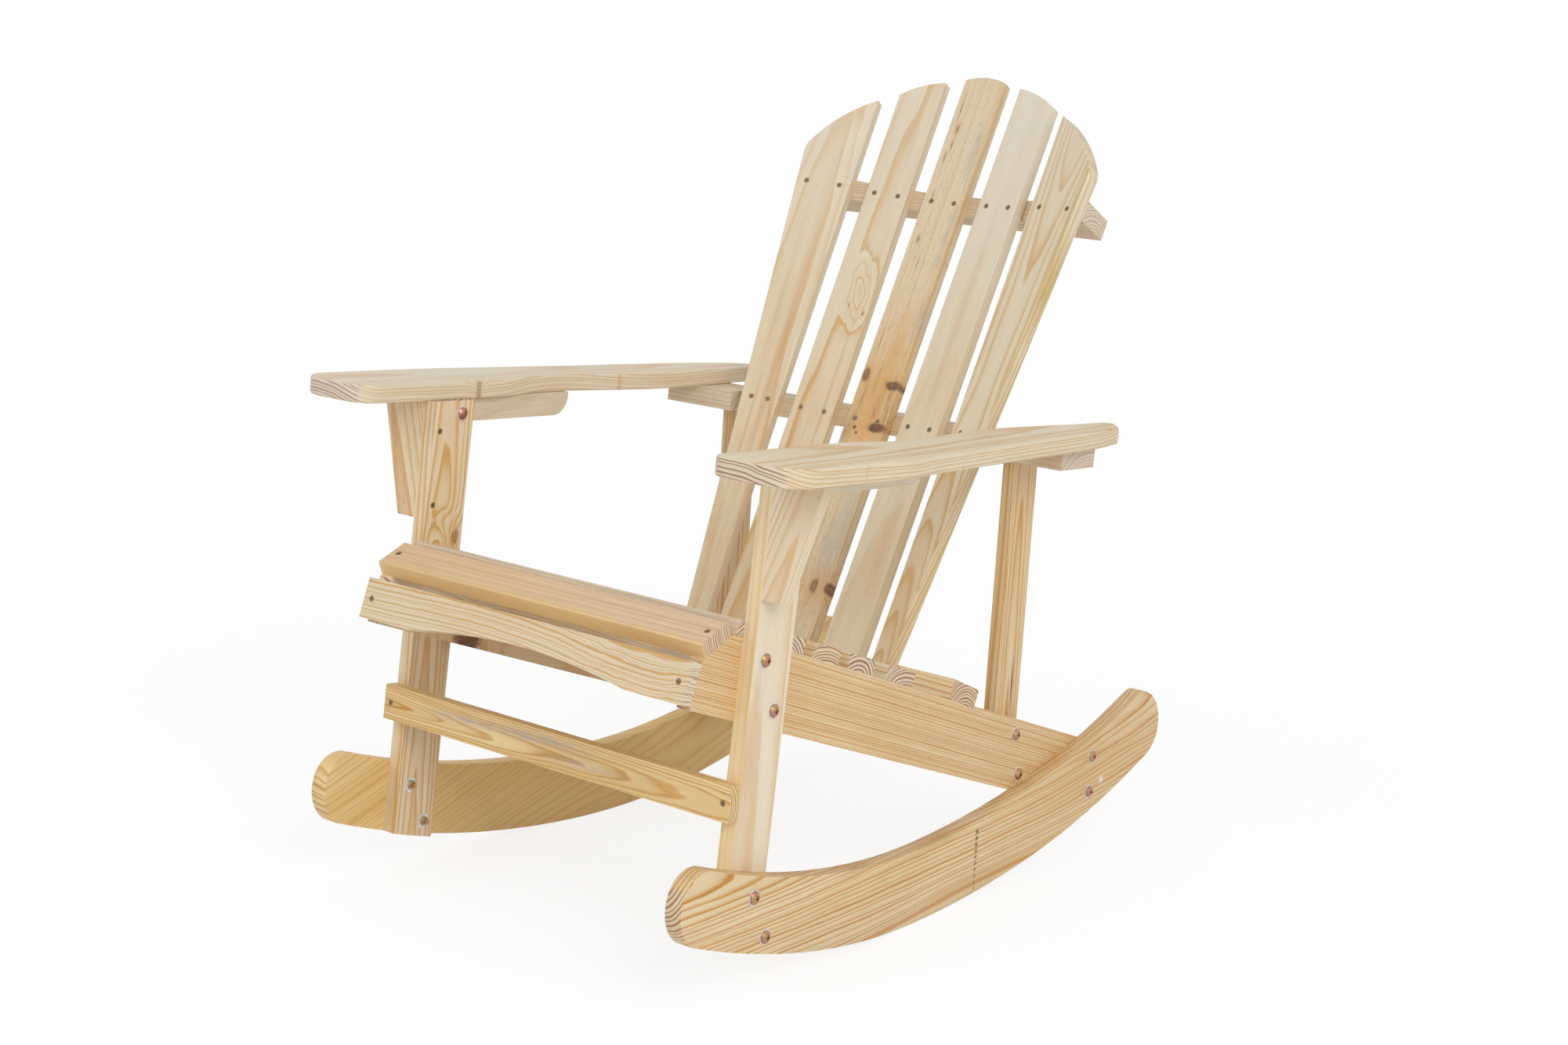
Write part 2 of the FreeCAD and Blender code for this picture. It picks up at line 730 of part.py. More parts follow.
def screw(length):
    head_r, r = screw_head_diameter / 2, screw_diameter / 2
    neck = -screw_sink - screw_head_height
    head = Part.makeCone(r, head_r, screw_head_height, V(0, 0, neck))
    shank = Part.makeCylinder(r, length - screw_head_height - screw_tip, V(0, 0, -length + screw_tip))
    tip = Part.makeCone(0, r, screw_tip, V(0, 0, -length))
    body = head.fuse([shank, tip]).removeSplitter()
    return body.cut(cross_recess(screw_recess_width, screw_recess_length, screw_recess_depth, -screw_sink))


def screw_hole(length):
    head_r, r = screw_head_diameter / 2, screw_diameter / 2 + screw_clearance
    neck = -screw_sink - screw_head_height
    cone = Part.makeCone(screw_diameter / 2, head_r, screw_head_height, V(0, 0, neck))
    mouth = Part.makeCylinder(head_r, screw_sink, V(0, 0, -screw_sink))
    bore = Part.makeCylinder(r, length + screw_sink, V(0, 0, -length - screw_sink))
    return cone.fuse([mouth, bore])


class Joinery:
    # collects bolts and screws with the holes that they need
    def __init__(self):
        self.groups = {}
        self.holes = []

    def add(self, name, shape):
        self.groups.setdefault(name, []).append(shape)

    def bolt_through(self, family, x_head, x_nut, y, z):
        # a bolt of the left side frame from an outer face to an inner face, and its mirror image
        grip = x_head - x_nut
        stack = [(family + "_washers", washer(), x_head, 1), (family + "_washers", washer(), x_nut, -1),
                 (family + "_nuts", nut(), x_nut - washer_thickness, -1)]
        length = grip + 2 * washer_thickness + nut_height + bolt_end
        stack.append((family + "_bolts", bolt(length), x_head + washer_thickness, 1))
        for name, shape, x, way in stack:
            self.add_pair(name, splayed(framed(shape, V(x, y, z), V(0, 0, 1), V(way, 0, 0))))
        hole = framed(bolt_hole(grip + OVERCUT), V(x_head, y, z), V(0, 0, 1), V(1, 0, 0))
        self.hole_pair(splayed(hole))

    def add_pair(self, name, shape):
        self.add(name, shape)
        self.add(name, mirrored(shape))

    def hole_pair(self, hole):
        self.holes += [hole, mirrored(hole)]

    def drive_screw(self, name, origin, along, facing, length):
        self.add(name, framed(screw(length), origin, along, facing))
        self.holes.append(framed(screw_hole(length), origin, along, facing))

    def drive_pair(self, name, origin, along, facing, length, turn=False):
        placed_screw = framed(screw(length), origin, along, facing)
        placed_hole = framed(screw_hole(length), origin, along, facing)
        if turn:
            placed_screw, placed_hole = splayed(placed_screw), splayed(placed_hole)
        self.add_pair(name, placed_screw)
        self.hole_pair(placed_hole)


def side_bolts(joints):
    outer = leg_outer_x + rocker_thickness
    (y1, drop), (y2, rise) = rocker_front_bolts
    joints.bolt_through("rocker", outer, side_half_width, y1, rocker_topside(y1) - drop)
    joints.bolt_through("rocker", outer, side_half_width, y2, rocker_underside(y2) + rise)
    outer = side_half_width + rocker_thickness
    (ahead1, drop), (ahead2, rise) = rocker_rear_bolts
    y1, y2 = rail_rear_y - ahead1, rail_rear_y - ahead2
    joints.bolt_through("rocker", outer, rail_inner_x, y1, rocker_topside(y1) - drop)
    joints.bolt_through("rocker", outer, rail_inner_x, y2, rocker_underside(y2) + rise)
    (y1, drop), (y2, rise) = leg_rail_bolts
    joints.bolt_through("frame", leg_outer_x, rail_inner_x, y1, rail_top(y1) - drop)
    joints.bolt_through("frame", leg_outer_x, rail_inner_x, y2, rail_underside(y2) + rise)
    (off1, drop), (off2, rise) = rail_post_bolts
    along_post, along_rail = -1.0 / tan(post_lean), -tan(rail_slope)
    for off, z_line in ((off1, rail_top(0) - drop), (off2, rail_underside(0) + rise)):
        y, z = meeting((post_middle_y + off, post_middle_z), along_post, (0, z_line), along_rail)
        joints.bolt_through("frame", side_half_width, post_inner_x, y, z)


def arm_bar_bolts(joints):
    y = arm_bar_bolt_y
    z = arm_underside(y) - arm_bar_bolt_drop
    length = washer_thickness + leg_thickness + arm_bar_bolt_grip
    inward, up = V(-1, 0, 0), V(0, 0, 1)
    face = V(side_half_width, y, z)
    joints.add_pair("arm_bar_washers", splayed(framed(washer(), face, up, inward)))
    head = face + inward * washer_thickness
    joints.add_pair("arm_bar_bolts", splayed(framed(bolt(length), head, up, inward)))
    deep = leg_thickness + arm_bar_bolt_grip + OVERCUT
    joints.hole_pair(splayed(framed(bolt_hole(deep), face, up, inward)))


def back_screw_stations():
    # along the back: at the slats' feet, at the rail under the arms and at the upper rail
    support_z = arm_underside(back_y) - support_screw_drop
    return (back_foot + foot_screw_rise, (support_z - back_z) / cos(back_recline),
            upper_rail_station + upper_screw_rise)


def back_screws(joints):
    # two in each slat at each rail, but one in the narrow feet of the outer slats
    stations = back_screw_stations()
    for index, frame in enumerate(frames):
        edge = outer_back_screw_edge if index in OUTER_SLATS else back_screw_edge
        for s in stations:
            w = slat_half_width(index, s) - edge
            single = index in OUTER_SLATS and s == stations[0]
            for side in ((0,) if single else (-w, w)):
                origin = frame.point(side, s)
                joints.drive_screw("back_screws", origin, frame.along, frame.facing, back_screw_length)


def wood_screws(joints):
    back_screws(joints)
    tilt_up = V(0, -sin(front_slat_tilt), cos(front_slat_tilt))
    tilt_back = V(0, cos(front_slat_tilt), sin(front_slat_tilt))
    middle = V(side_half_width - front_slat_screw_inset, *front_slat_edge) + tilt_up * front_slat_thickness
    middle = middle + tilt_back * (front_slat_width / 2)
    joints.drive_pair("seat_screws", middle, tilt_back, tilt_up, screw_length)
    out = V(0, -cos(rail_slope), sin(rail_slope))
    up = V(0, sin(rail_slope), cos(rail_slope))
    face = V(side_half_width - apron_screw_inset, *rail_front_corner()) + out * apron_thickness
    face = face - up * (apron_top_drop + apron_height / 2)
    joints.drive_pair("apron_screws", face, up, out, screw_length)
    face = V(leg_outer_x - footrest_screw_inset, -footrest_thickness, footrest_bottom_z + footrest_height / 2)
    joints.drive_pair("footrest_screws", face, V(0, 0, 1), V(0, -1, 0), footrest_screw_length)
    for z in (bracket_bottom_z + bracket_screw_rise, bracket_head_z - bracket_screw_drop):
        face = V(side_half_width, bracket_screw_y, z)
        joints.drive_pair("bracket_screws", face, V(0, 0, 1), V(-1, 0, 0), bracket_screw_length, turn=True)


# The whole chair
frames = slat_frames()


def boards():
    parts = {}
    sides = {"leg": leg, "side_rail": side_rail, "post": post, "rocker": rocker, "arm": arm,
             "arm_bracket": arm_bracket, "arm_bar": arm_bar}
    for name, make in sides.items():
        shape = make()
        parts[name + "_left"] = shape
        parts[name + "_right"] = mirrored(shape)
    parts["arm_support_rail"] = arm_support_rail()
    parts["apron"] = apron()
    parts["footrest_bar"] = footrest_bar()
    parts["seat_slat_1"] = front_slat()
    for index in range(len(seat_slat_front_y)):
        parts["seat_slat_%d" % (index + 2)] = seat_slat(index)
    for index in range(len(frames)):
        parts["back_slat_%d" % (index + 1)] = back_slat(index)
    parts["lower_back_rail"] = lower_back_rail()
    parts["upper_back_rail"] = upper_back_rail()
    return parts


def drilled(shape, holes):
    near = [hole for hole in holes if shape.BoundBox.intersect(hole.BoundBox)]
    return shape.cut(near) if near else shape


def center_of_mass(parts, steel):
    total, moment = 0.0, V(0, 0, 0)
    for name, shape in parts.items():
        density = steel_density if name in steel else pine_density
        for solid in shape.Solids:
            total += solid.Volume * density
            moment = moment + solid.CenterOfMass * (solid.Volume * density)
    return moment * (1.0 / total)


def resting_angle(center):
    # the chair rolls until its centre of mass stands below the centre of the rockers' bottom arc
    pivot = rocker_bottom_center
    return math.degrees(math.atan2(center.y - pivot.y, pivot.z - center.z))


def main():
    parts = boards()
    joints = Joinery()
    side_bolts(joints)
    arm_bar_bolts(joints)
    wood_screws(joints)
    parts = {name: drilled(shape, joints.holes) for name, shape in parts.items()}
    for name, shapes in joints.groups.items():
        parts[name] = Part.makeCompound(shapes)
    lean = resting_angle(center_of_mass(parts, joints.groups))
    print("resting lean %.3f degrees" % lean)
    for shape in parts.values():
        shape.rotate(V(0, 0, 0), V(1, 0, 0), -lean)
    box = None
    for shape in parts.values():
        own = shape.optimalBoundingBox(False, False)
        box = own if box is None else box.united(own)
    shift = V(-box.Center.x, -box.Center.y, -box.ZMin)
    print("moved by %.3f %.3f %.3f" % (shift.x, shift.y, shift.z))
    for name, shape in parts.items():
        shape.translate(shift)
        shape.exportStep("parts/%s.step" % name)
    print("size %.1f %.1f %.1f, %d nodes" % (box.XLength, box.YLength, box.ZLength, len(parts)))


main()
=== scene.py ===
import math
from typing import NamedTuple

import bpy
import numpy as np
from bpy.props import FloatProperty, FloatVectorProperty, PointerProperty
from mathutils import Matrix, Vector

bl_info = {
    "name": "Rocking Adirondack Chair",
    "version": (1, 0, 0),
    "blender": (4, 5, 0),
    "location": "View3D > Sidebar > Chair",
    "description": "Dresses the slatted pine rocking chair and sets up its studio",
    "category": "Object",
}

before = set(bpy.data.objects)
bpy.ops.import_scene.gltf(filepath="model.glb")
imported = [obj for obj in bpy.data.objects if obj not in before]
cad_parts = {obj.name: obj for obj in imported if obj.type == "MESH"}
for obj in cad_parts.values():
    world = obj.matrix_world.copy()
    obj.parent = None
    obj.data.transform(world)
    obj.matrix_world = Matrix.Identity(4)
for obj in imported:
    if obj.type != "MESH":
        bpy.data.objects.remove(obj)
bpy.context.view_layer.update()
MM = 0.001


# Settings

def colour(name, description, value):
    return FloatVectorProperty(name=name, description=description, default=value,
                               subtype="COLOR", min=0, max=1)


def level(name, description, value):
    return FloatProperty(name=name, description=description, default=value, min=0)


def angle(name, description, degrees):
    return FloatProperty(name=name, description=description, default=math.radians(degrees),
                         subtype="ANGLE")


class ChairWoodSettings(bpy.types.PropertyGroup):
    white_pale: colour("White pale", "Early wood of the whitest boards", (0.84, 0.755, 0.575))
    white_line: colour("White line", "Late wood of the whitest boards", (0.64, 0.34, 0.06))
    cream_pale: colour("Cream pale", "Early wood of the cream boards", (0.77, 0.68, 0.505))
    cream_line: colour("Cream line", "Late wood of the cream boards", (0.58, 0.30, 0.03))
    warm_pale: colour("Warm pale", "Early wood of the yellow boards", (0.785, 0.66, 0.42))
    warm_line: colour("Warm line", "Late wood of the yellow boards", (0.56, 0.235, 0.015))
    gold_pale: colour("Gold pale", "Early wood of the golden boards", (0.85, 0.685, 0.38))
    gold_line: colour("Gold line", "Late wood of the golden boards", (0.50, 0.21, 0.01))
    grey_pale: colour("Grey pale", "Early wood of the greyish boards", (0.74, 0.655, 0.53))
    grey_line: colour("Grey line", "Late wood of the greyish boards", (0.54, 0.35, 0.15))
    pink_pale: colour("Pink pale", "Early wood of the pinkish boards", (0.78, 0.635, 0.45))
    pink_line: colour("Pink line", "Late wood of the pinkish boards", (0.55, 0.245, 0.06))
    end_dark: colour("End grain", "Late wood on the sawn ends", (0.31, 0.115, 0.04))
    knot: colour("Knot", "Heart of a knot", (0.16, 0.065, 0.028))
    knot_rim: colour("Knot rim", "Bark ring of a knot", (0.06, 0.028, 0.016))
    filler: colour("Filler", "White wood filler in an old hole", (0.86, 0.84, 0.80))
    olive: colour("Olive", "Resinous band along an edge", (0.52, 0.36, 0.09))
    blue_stain: colour("Blue stain", "Grey-blue stain in the sapwood", (0.36, 0.37, 0.37))
    resin: colour("Resin", "Orange tint round a knot", (0.68, 0.36, 0.10))
    amber: colour("Amber", "Yellowed surface of golden boards", (0.88, 0.60, 0.22))
    # Chalk and sheen: a cool pale tint. On the tops of arms and slats it is a painted sheen; on
    # other boards it is a paler tone of the wood.
    chalk_and_sheen: colour("Chalk", "Cool pale tint, as on the slats' tops", (0.79, 0.76, 0.71))
    tan: colour("Tan", "Soft pinkish-brown bands", (0.64, 0.43, 0.24))
    fleck: colour("Fleck", "Short reddish dashes along the grain", (0.36, 0.15, 0.06))
    edge_radius: FloatProperty(name="Edge radius", description="How far the sharp edges are eased",
                               default=0.8 * MM, min=0, max=2 * MM, unit="LENGTH")


class ChairMetalSettings(bpy.types.PropertyGroup):
    bolt_gold: colour("Bolt gold", "Yellow zinc plating", (0.45, 0.29, 0.12))
    bolt_pink: colour("Bolt pink", "Pink bloom of the plating", (0.44, 0.22, 0.17))
    washer: colour("Washer", "Pale zinc of the washers", (0.86, 0.85, 0.84))
    nut: colour("Nut", "Duller zinc of the nuts", (0.55, 0.40, 0.22))
    screw: colour("Screw", "Dull head of the wood screws", (0.32, 0.23, 0.14))


class ChairStageSettings(bpy.types.PropertyGroup):
    camera_location: FloatVectorProperty(name="Camera", description="Where the camera stands",
                                         default=(1.79846, -2.43595, 0.99663),
                                         subtype="TRANSLATION")
    camera_turn: angle("Turn", "Camera direction round the chair", 36.5196)
    camera_height: angle("Height angle", "How far the camera looks down", 10.4525)
    camera_roll: angle("Roll", "Tilt of the camera about its own line of sight", 4.4036)
    lens: FloatProperty(name="Lens", description="Focal length on a 36 mm frame",
                        default=56.119, unit="CAMERA")
    floor: colour("Floor", "The pale studio floor", (0.92, 0.92, 0.92))
    sky: level("Sky", "Level of the light from all round", 0.62)
    key_power: level("Key light", "Large soft lamp in front", 71.0)
    side_power: level("Side light", "Low soft lamp on the sitter's left", 5.0)
    fill_power: level("Fill light", "Soft lamp on the sitter's right", 20.0)


# Node building

class Tree:
    """Short ways to add nodes to a material or a group."""

    def __init__(self, tree):
        self.tree = tree

    def node(self, kind, **settings):
        made = self.tree.nodes.new(kind)
        for name, value in settings.items():
            setattr(made, name, value)
        return made

    def put(self, socket, value):
        """Links a socket to another, or sets its value."""
        if isinstance(value, bpy.types.NodeSocket):
            self.tree.links.new(value, socket)
        elif value is not None:
            socket.default_value = value

    def math(self, operation, a, b=None, clamp=False):
        made = self.node("ShaderNodeMath", operation=operation, use_clamp=clamp)
        for socket, value in zip(made.inputs, (a, b)):
            self.put(socket, value)
        return made.outputs[0]

    def plus(self, first, *rest):
        for value in rest:
            first = self.math("ADD", first, value)
        return first

    def minus(self, a, b):
        return self.math("SUBTRACT", a, b)

    def times(self, a, b):
        return self.math("MULTIPLY", a, b)

    def over(self, a, b):
        return self.math("DIVIDE", a, b)

    def square(self, value):
        return self.times(value, value)

    def length(self, a, b):
        return self.math("SQRT", self.plus(self.square(a), self.square(b)))

    def fade_out(self, squared):
        """1 where the squared distance is 0, falling to 0 far away."""
        return self.math("EXPONENT", self.times(squared, -1.0))

    def vector(self, operation, a, b=None, scale=None):
        made = self.node("ShaderNodeVectorMath", operation=operation)
        self.put(made.inputs[0], a)
        self.put(made.inputs[1], b)
        if scale is not None:
            self.put(made.inputs["Scale"], scale)
        return made.outputs["Value" if operation in ("LENGTH", "DOT_PRODUCT") else "Vector"]

    def split(self, vector):
        made = self.node("ShaderNodeSeparateXYZ")
        self.put(made.inputs[0], vector)
        return made.outputs

    def mix(self, factor, a, b, blend="MIX"):
        """Mixes two colours, each a socket or three numbers."""
        made = self.node("ShaderNodeMix", data_type="RGBA", blend_type=blend)
        first, second = made.inputs[6], made.inputs[7]
        self.put(made.inputs["Factor"], factor)
        for socket, value in ((first, a), (second, b)):
            self.put(socket, (*value, 1) if isinstance(value, tuple) else value)
        return made.outputs[2]

    def noise(self, vector, scale=1.0, detail=2.0, rough=0.5):
        made = self.node("ShaderNodeTexNoise", noise_dimensions="3D")
        self.put(made.inputs["Vector"], vector)
        self.put(made.inputs["Scale"], scale)
        self.put(made.inputs["Detail"], detail)
        self.put(made.inputs["Roughness"], rough)
        return made.outputs

    def grain(self, vector, pitch, detail, rough=0.5):
        """Noise drawn out along the board. The pitch is in waves per metre, each way."""
        return self.noise(self.vector("MULTIPLY", vector, pitch), 1.0, detail, rough)

    def noise_of(self, value, scale, detail):
        """Noise along one number, such as the count of rings."""
        made = self.node("ShaderNodeTexNoise", noise_dimensions="1D")
        self.put(made.inputs["W"], value)
        self.put(made.inputs["Scale"], scale)
        self.put(made.inputs["Detail"], detail)
        self.put(made.inputs["Roughness"], 0.5)
        return made.outputs[0]

    def ramp(self, factor, stops):
        made = self.node("ShaderNodeValToRGB")
        elements = made.color_ramp.elements
        while len(elements) < len(stops):
            elements.new(0.5)
        for element, (position, value) in zip(elements, stops):
            element.position = position
            element.color = (value, value, value, 1)
        self.put(made.inputs[0], factor)
        return made.outputs[0]

    def smooth(self, value, low, high):
        """0 below low, 1 above high and smooth between them."""
        made = self.node("ShaderNodeMapRange", interpolation_type="SMOOTHSTEP")
        self.put(made.inputs["Value"], value)
        self.put(made.inputs["From Min"], low)
        self.put(made.inputs["From Max"], high)
        return made.outputs["Result"]

    def group(self, group, **values):
        made = self.node("ShaderNodeGroup", node_tree=group)
        for name, value in values.items():
            socket = made.inputs[name.replace("_", " ")]
            self.put(socket, (*value, 1) if socket.type == "RGBA" else value)
        return made.outputs

    def seen(self):
        """1 where the camera looks, also by way of metal or glass, and 0 for light."""
        rays = self.node("ShaderNodeLightPath").outputs
        return self.math("MAXIMUM", rays["Is Camera Ray"],
                         self.math("MAXIMUM", rays["Is Glossy Ray"], rays["Is Transmission Ray"]))


def new_group(name, inputs, outputs):
    """A node group. An input is given by its kind, or by the number that it starts at."""
    group = bpy.data.node_groups.new(name, "ShaderNodeTree")
    for label, value in inputs.items():
        kind = value if isinstance(value, str) else "Float"
        socket = group.interface.new_socket(label, in_out="INPUT", socket_type="NodeSocket" + kind)
        if kind == "Float":
            socket.default_value = value
    for label, kind in outputs.items():
        group.interface.new_socket(label, in_out="OUTPUT", socket_type="NodeSocket" + kind)
    tree = Tree(group)
    return group, tree, tree.node("NodeGroupInput").outputs, tree.node("NodeGroupOutput").inputs


def once(name, make):
    return bpy.data.node_groups.get(name) or make(name)


def new_material(name):
    material = bpy.data.materials.new(name)
    material.use_nodes = True
    material.node_tree.nodes.clear()
    return material, Tree(material.node_tree)


def show(t, shader):
    t.put(t.node("ShaderNodeOutputMaterial").inputs[0], shader.outputs[0])


# Effects that the materials share

def growth_rings(name):
    """Growth rings as warped cylinders round a pith line, cut by the board's faces."""
    slow_pitch, quick_pitch = (1.6, 9.0, 9.0), (10.0, 70.0, 70.0)
    quick_share = 0.11              # how much of the rings' wandering is quick
    wander_gain = 2.8               # noise stays near its middle, so its swing is made larger
    ring_drift, drift_scale = 1.7, 0.45   # wide and narrow years, in rings
    year_scale, band_scale = 0.83, 0.21
    faintest, year_swing = 0.5, 0.9       # how much the lines of single years differ
    band_edge = (0.46, 0.68)
    line_shape = ((0.0, 0.0), (0.40, 0.05), (0.65, 0.34), (0.84, 1.0), (0.95, 0.8), (1.0, 0.0))
    group, t, i, o = new_group(
        name,
        {"Vector": "Vector", "Seed": "Vector", "Across": 0.0, "Depth": 0.03, "Across Slope": 0.0,
         "Depth Slope": 0.0, "Across Bow": 0.0, "Depth Bow": 0.0, "Ring Spacing": 0.004,
         "Crowding": 0.0, "Wave": 0.004, "Push": 0.0},
        {"Line": "Float", "Band": "Float"})
    place = t.vector("ADD", i["Vector"], i["Seed"])
    half = (0.5, 0.5, 0.5)
    slow = t.vector("SUBTRACT", t.grain(place, slow_pitch, detail=3.0)["Color"], half)
    quick = t.vector("SUBTRACT", t.grain(place, quick_pitch, detail=2.0)["Color"], half)
    wander = t.vector("ADD", slow, t.vector("SCALE", quick, scale=quick_share))
    drift = t.split(t.vector("SCALE", wander, scale=t.times(i["Wave"], wander_gain)))
    at = t.split(i["Vector"])
    along, squared = at[0], t.square(at[0])
    pith_across = t.plus(i["Across"], t.times(along, i["Across Slope"]),
                         t.times(squared, i["Across Bow"]))
    across = t.minus(t.plus(at[1], drift[1]), pith_across)
    depth = t.plus(at[2], drift[2], i["Depth"], t.times(along, i["Depth Slope"]),
                   t.times(squared, i["Depth Bow"]))
    radius = t.length(across, depth)
    out = t.minus(radius, t.length(i["Across"], i["Depth"]))
    crowded = t.plus(radius, i["Push"], t.times(i["Crowding"], t.square(out)))
    ring = t.over(crowded, i["Ring Spacing"])
    ring = t.plus(ring, t.times(t.noise_of(ring, drift_scale, 1.0), ring_drift))
    line = t.ramp(t.math("FRACT", ring), line_shape)
    year = t.noise_of(t.math("FLOOR", ring), year_scale, 0.0)
    contrast = t.plus(t.times(year, year_swing), faintest)
    t.put(o["Line"], t.math("MULTIPLY", line, contrast, clamp=True))
    t.put(o["Band"], t.smooth(t.noise_of(ring, band_scale, 1.0), *band_edge))
    return group


def wood_fibre(name):
    """Fine streaks and flecks along the board, and slow mottling."""
    group, t, i, o = new_group(name, {"Vector": "Vector", "Seed": "Vector"},
                               {"Streak": "Float", "Fleck": "Float", "Mottle": "Float"})
    place = t.vector("ADD", i["Vector"], i["Seed"])
    streak = t.grain(place, (14.0, 620.0, 620.0), detail=3.0, rough=0.6)[0]
    fleck = t.grain(place, (75.0, 1300.0, 1300.0), detail=1.0)[0]
    mottle = t.grain(place, (4.5, 22.0, 22.0), detail=3.0, rough=0.6)[0]
    t.put(o["Streak"], t.smooth(streak, low=0.28, high=0.72))
    t.put(o["Fleck"], t.smooth(fleck, low=0.64, high=0.74))
    t.put(o["Mottle"], t.smooth(mottle, low=0.25, high=0.75))
    return group


def board_colour(name):
    """Turns rings and fibre into colour, height and roughness, with darker sawn ends."""
    mottling = 0.2                        # share of the line colour in the darkest mottling
    streak_low, streak_swing = 0.94, 0.12
    streak_warmth = (("Red", 0.01), ("Green", 0.0), ("Blue", -0.015))
    end_dulling, end_line_edge = 0.14, (0.05, 0.6)
    raised_line, raised_streak, sunk_fleck = 0.6, 0.5, 0.4
    roughness, line_polish = 0.56, 0.12   # the hard lines are a little smoother
    group, t, i, o = new_group(
        name,
        {"Line": 0.0, "Band": 0.0, "Streak": 0.5, "Fleck": 0.0, "Mottle": 0.5, "End": 0.0,
         "Strength": 0.8, "Banding": 0.2, "Flecking": 0.1, "End Lines": 0.8, "Pale": "Color",
         "Line Colour": "Color", "Fleck Colour": "Color", "End Dark": "Color"},
        {"Color": "Color", "Height": "Float", "Roughness": "Float"})
    body = t.mix(t.times(i["Band"], i["Banding"]), i["Pale"], i["Line Colour"])
    body = t.mix(t.times(i["Mottle"], mottling), body, i["Line Colour"])
    body = t.mix(t.times(i["Line"], i["Strength"]), body, i["Line Colour"])
    shade = t.plus(t.times(i["Streak"], streak_swing), streak_low)
    streaks = t.node("ShaderNodeCombineColor")
    for channel, lift in streak_warmth:
        t.put(streaks.inputs[channel], t.plus(shade, lift))
    face = t.mix(1.0, body, streaks.outputs[0], "MULTIPLY")
    face = t.mix(t.times(i["Fleck"], i["Flecking"]), face, i["Fleck Colour"])
    dull = t.mix(t.times(i["End Lines"], end_dulling), i["Pale"], i["End Dark"])
    end_line = t.times(t.smooth(i["Line"], *end_line_edge), i["End Lines"])
    t.put(o["Color"], t.mix(i["End"], face, t.mix(end_line, dull, i["End Dark"])))
    raised = t.plus(t.times(i["Line"], raised_line), t.times(i["Streak"], raised_streak))
    t.put(o["Height"], t.minus(raised, t.times(i["Fleck"], sunk_fleck)))
    t.put(o["Roughness"], t.minus(roughness, t.times(i["Line"], line_polish)))
    return group


def knot(name):
    """A branch knot: ragged heart, dark rim, orange halo, and how far it pushes the rings."""
    ragged, bent = 1.9, 1.1               # how uneven the knot and the rings round it are
    heart_from, heart_full = 1.15, 0.55   # these and the next three in radii
    rim_at, rim_width, halo_size = 0.85, 0.3, 2.1
    rim_gaps, turns_edge = (0.36, 0.58), (0.40, 0.66)   # parts of the noise
    group, t, i, o = new_group(
        name,
        {"Vector": "Vector", "Centre": "Vector", "Radius": 0.008, "Stretch": 1.4, "Rise": 0.008,
         "Reach": 2.4},
        {"Push": "Float", "Heart": "Float", "Rim": "Float", "Halo": "Float", "Turns": "Float"})
    away = t.split(t.vector("SUBTRACT", i["Vector"], i["Centre"]))
    far = t.over(t.length(t.over(away[0], i["Stretch"]), away[1]), i["Radius"])
    rough = t.grain(i["Vector"], (90.0, 190.0, 190.0), detail=4.0, rough=0.7)[0]
    bend = t.grain(i["Vector"], (22.0, 48.0, 48.0), detail=2.0)[0]
    share = t.plus(far, t.times(t.minus(rough, 0.5), ragged))
    bell = t.plus(t.over(far, i["Reach"]), t.times(t.minus(bend, 0.5), bent))
    t.put(o["Push"], t.times(t.fade_out(t.square(bell)), i["Rise"]))
    t.put(o["Heart"], t.smooth(share, heart_from, heart_full))
    off_rim = t.over(t.minus(share, rim_at), rim_width)
    t.put(o["Rim"], t.times(t.fade_out(t.square(off_rim)), t.smooth(rough, *rim_gaps)))
    t.put(o["Halo"], t.fade_out(t.square(t.over(share, halo_size))))
    t.put(o["Turns"], t.smooth(rough, *turns_edge))
    return group


def soft_patch(name):
    """A patch that fades out from a centre, broken up along the grain."""
    group, t, i, o = new_group(
        name,
        {"Vector": "Vector", "Centre": "Vector", "Length": 0.01, "Width": 0.004, "Broken": 0.5},
        {"Mask": "Float"})
    away = t.split(t.vector("SUBTRACT", i["Vector"], i["Centre"]))
    far = t.plus(t.square(t.over(away[0], i["Length"])), t.square(t.over(away[1], i["Width"])))
    speck = t.grain(i["Vector"], (60.0, 260.0, 260.0), detail=3.0, rough=0.6)[0]
    gone = t.times(i["Broken"], t.minus(1.0, t.smooth(speck, low=0.42, high=0.62)))
    t.put(o["Mask"], t.times(t.fade_out(far), t.minus(1.0, gone)))
    return group


def sawn_end(name):
    """Where the surface looks along the board, so the saw has cut across the grain."""
    group, t, i, o = new_group(name, {"Normal": "Vector", "Along": "Vector"}, {"Mask": "Float"})
    facing = t.math("ABSOLUTE", t.vector("DOT_PRODUCT", i["Normal"], i["Along"]))
    t.put(o["Mask"], t.smooth(facing, low=0.72, high=0.9))
    return group


def plating(name):
    """Gold and pink bloom of yellow zinc, with small scuffs."""
    bloom_scale, bloom_edge = 95.0, (0.38, 0.60)
    scuff_scale, smoothest, scuffed = 900.0, 0.20, 0.22
    group, t, i, o = new_group(name, {"Vector": "Vector", "Gold": "Color", "Pink": "Color"},
                               {"Color": "Color", "Roughness": "Float"})
    bloom = t.smooth(t.noise(i["Vector"], bloom_scale)[0], *bloom_edge)
    scuff = t.noise(i["Vector"], scuff_scale)[0]
    t.put(o["Color"], t.mix(bloom, i["Gold"], i["Pink"]))
    t.put(o["Roughness"], t.plus(t.times(scuff, scuffed), smoothest))
    return group


